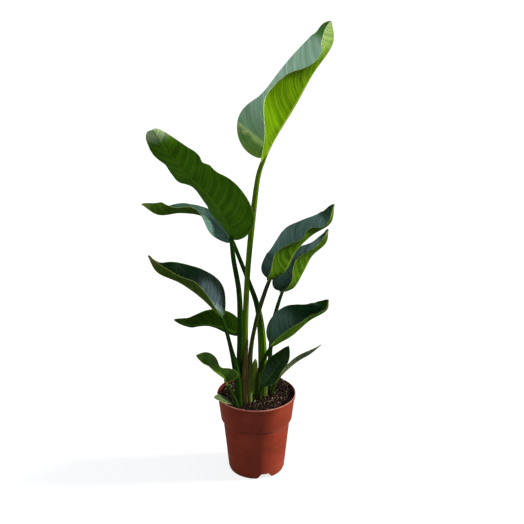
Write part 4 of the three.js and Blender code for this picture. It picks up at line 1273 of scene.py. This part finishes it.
def floor():
    """A pale floor. It throws back less light than it shows, as a floor with nothing but the plant on it
    would."""
    ground = begin(bpy.ops.mesh.primitive_plane_add, size=60)
    ground.name = "studio_floor"
    material, shader, bench = new_finish("pale floor")
    shown = bench.put("LightPath", output="Is Camera Ray")
    in_gloss = bench.put("LightPath", output="Is Glossy Ray")
    tone = bench.mix(in_gloss, (0.36, 0.36, 0.36, 1), (0.03, 0.03, 0.03, 1))
    bench.link(bench.mix(shown, tone, (0.32, 0.32, 0.32, 1)), shader.inputs["Base Color"])
    in_front = bench.span(bench.part(bench.put("TexCoord", output="Object"), 1), -0.6, -1.6)
    far_off = bench.mix(bench.times(in_front, in_gloss), (0, 0, 0, 1), (0.7, 1.0, 1.0, 1))
    bench.link(bench.mix(shown, far_off, (0.8, 0.8, 0.8, 1)), shader.inputs["Emission Color"])
    shader.inputs["Emission Strength"].default_value = 1.0
    shader.inputs["Roughness"].default_value = 0.9
    shader.inputs["Specular IOR Level"].default_value = 0.0
    ground.data.materials.append(material)


def aimed(name, light, place, aim):
    """A lamp that lights the plant. What gloss mirrors is the room, so that highlights stay broad and
    soft."""
    lamp = bpy.data.objects.new(name, light)
    lamp.visible_glossy = False
    bpy.context.scene.collection.objects.link(lamp)
    lamp.location = place
    lamp.rotation_euler = (Vector(aim) - Vector(place)).to_track_quat("-Z", "Y").to_euler()


def window_light():
    """Soft daylight from the right and a little behind."""
    light = bpy.data.lights.new("window", "SUN")
    light.angle = math.radians(13)
    light.energy = 5.8
    light.color = (1.0, 0.985, 0.95)
    aimed("window", light, (2.4, 0.2, 1.4), (0, 0, 0.4))


def softbox(name, place, aim, size, power, tint):
    light = bpy.data.lights.new(name, "AREA")
    light.shape = "RECTANGLE"
    light.size, light.size_y = size
    light.energy = power
    light.color = tint
    aimed(name, light, place, aim)


def studio_air():
    """A weak even fill for the shade. Gloss mirrors a dim room with a wide bluish window on the left, a small
    one at the front right, and a bright band low in front."""
    world = bpy.data.worlds.new("studio air")
    world.use_nodes = True
    bench = Bench(world.node_tree)
    background = world.node_tree.nodes["Background"]
    way = bench.put("TexCoord", output="Generated")
    above_floor = bench.span(bench.part(way, 2), -0.1, 0.2)
    left_window = bench.times(bench.span(bench.part(way, 0), -0.15, -0.7), above_floor)
    front_window = bench.towards(way, (0.51, -0.75, 0.42))
    low_front = bench.towards(way, (0.2, -0.97, -0.12))
    mirrored = bench.mix(left_window, (0.09, 0.14, 0.13, 1), (1.1, 1.55, 1.7, 1))
    mirrored = bench.mix(bench.span(low_front, 0.7, 0.97), mirrored, (1.0, 1.4, 1.4, 1))
    mirrored = bench.mix(bench.span(front_window, 0.9, 0.985), mirrored, (2.8, 3.4, 3.5, 1))
    shaded = bench.put("LightPath", output="Is Diffuse Ray")
    in_gloss = bench.put("LightPath", output="Is Glossy Ray")
    tone = bench.mix(shaded, (1, 1, 1, 1), (0.26, 0.29, 0.33, 1))
    bench.link(bench.mix(in_gloss, tone, mirrored), background.inputs["Color"])
    bpy.context.scene.world = world


def camera():
    """The photograph's view: 20.6 degrees down, two metres in front of the pot."""
    lens = bpy.data.cameras.new("photograph view")
    lens.sensor_width = 36
    lens.lens = 69.26
    seen = bpy.data.objects.new("photograph view", lens)
    bpy.context.scene.collection.objects.link(seen)
    seen.location = (0.0124, -2.0, 1.248)
    seen.rotation_euler = (math.radians(90 - 20.6), 0, 0)
    bpy.context.scene.camera = seen


floor()
window_light()
softbox("left panel", (-1.6, -0.5, 1.9), (0, 0, 0.5), (1.4, 1.4), 14, (0.9, 0.96, 1.0))
studio_air()
camera()
bpy.context.scene.view_settings.view_transform = "Standard"
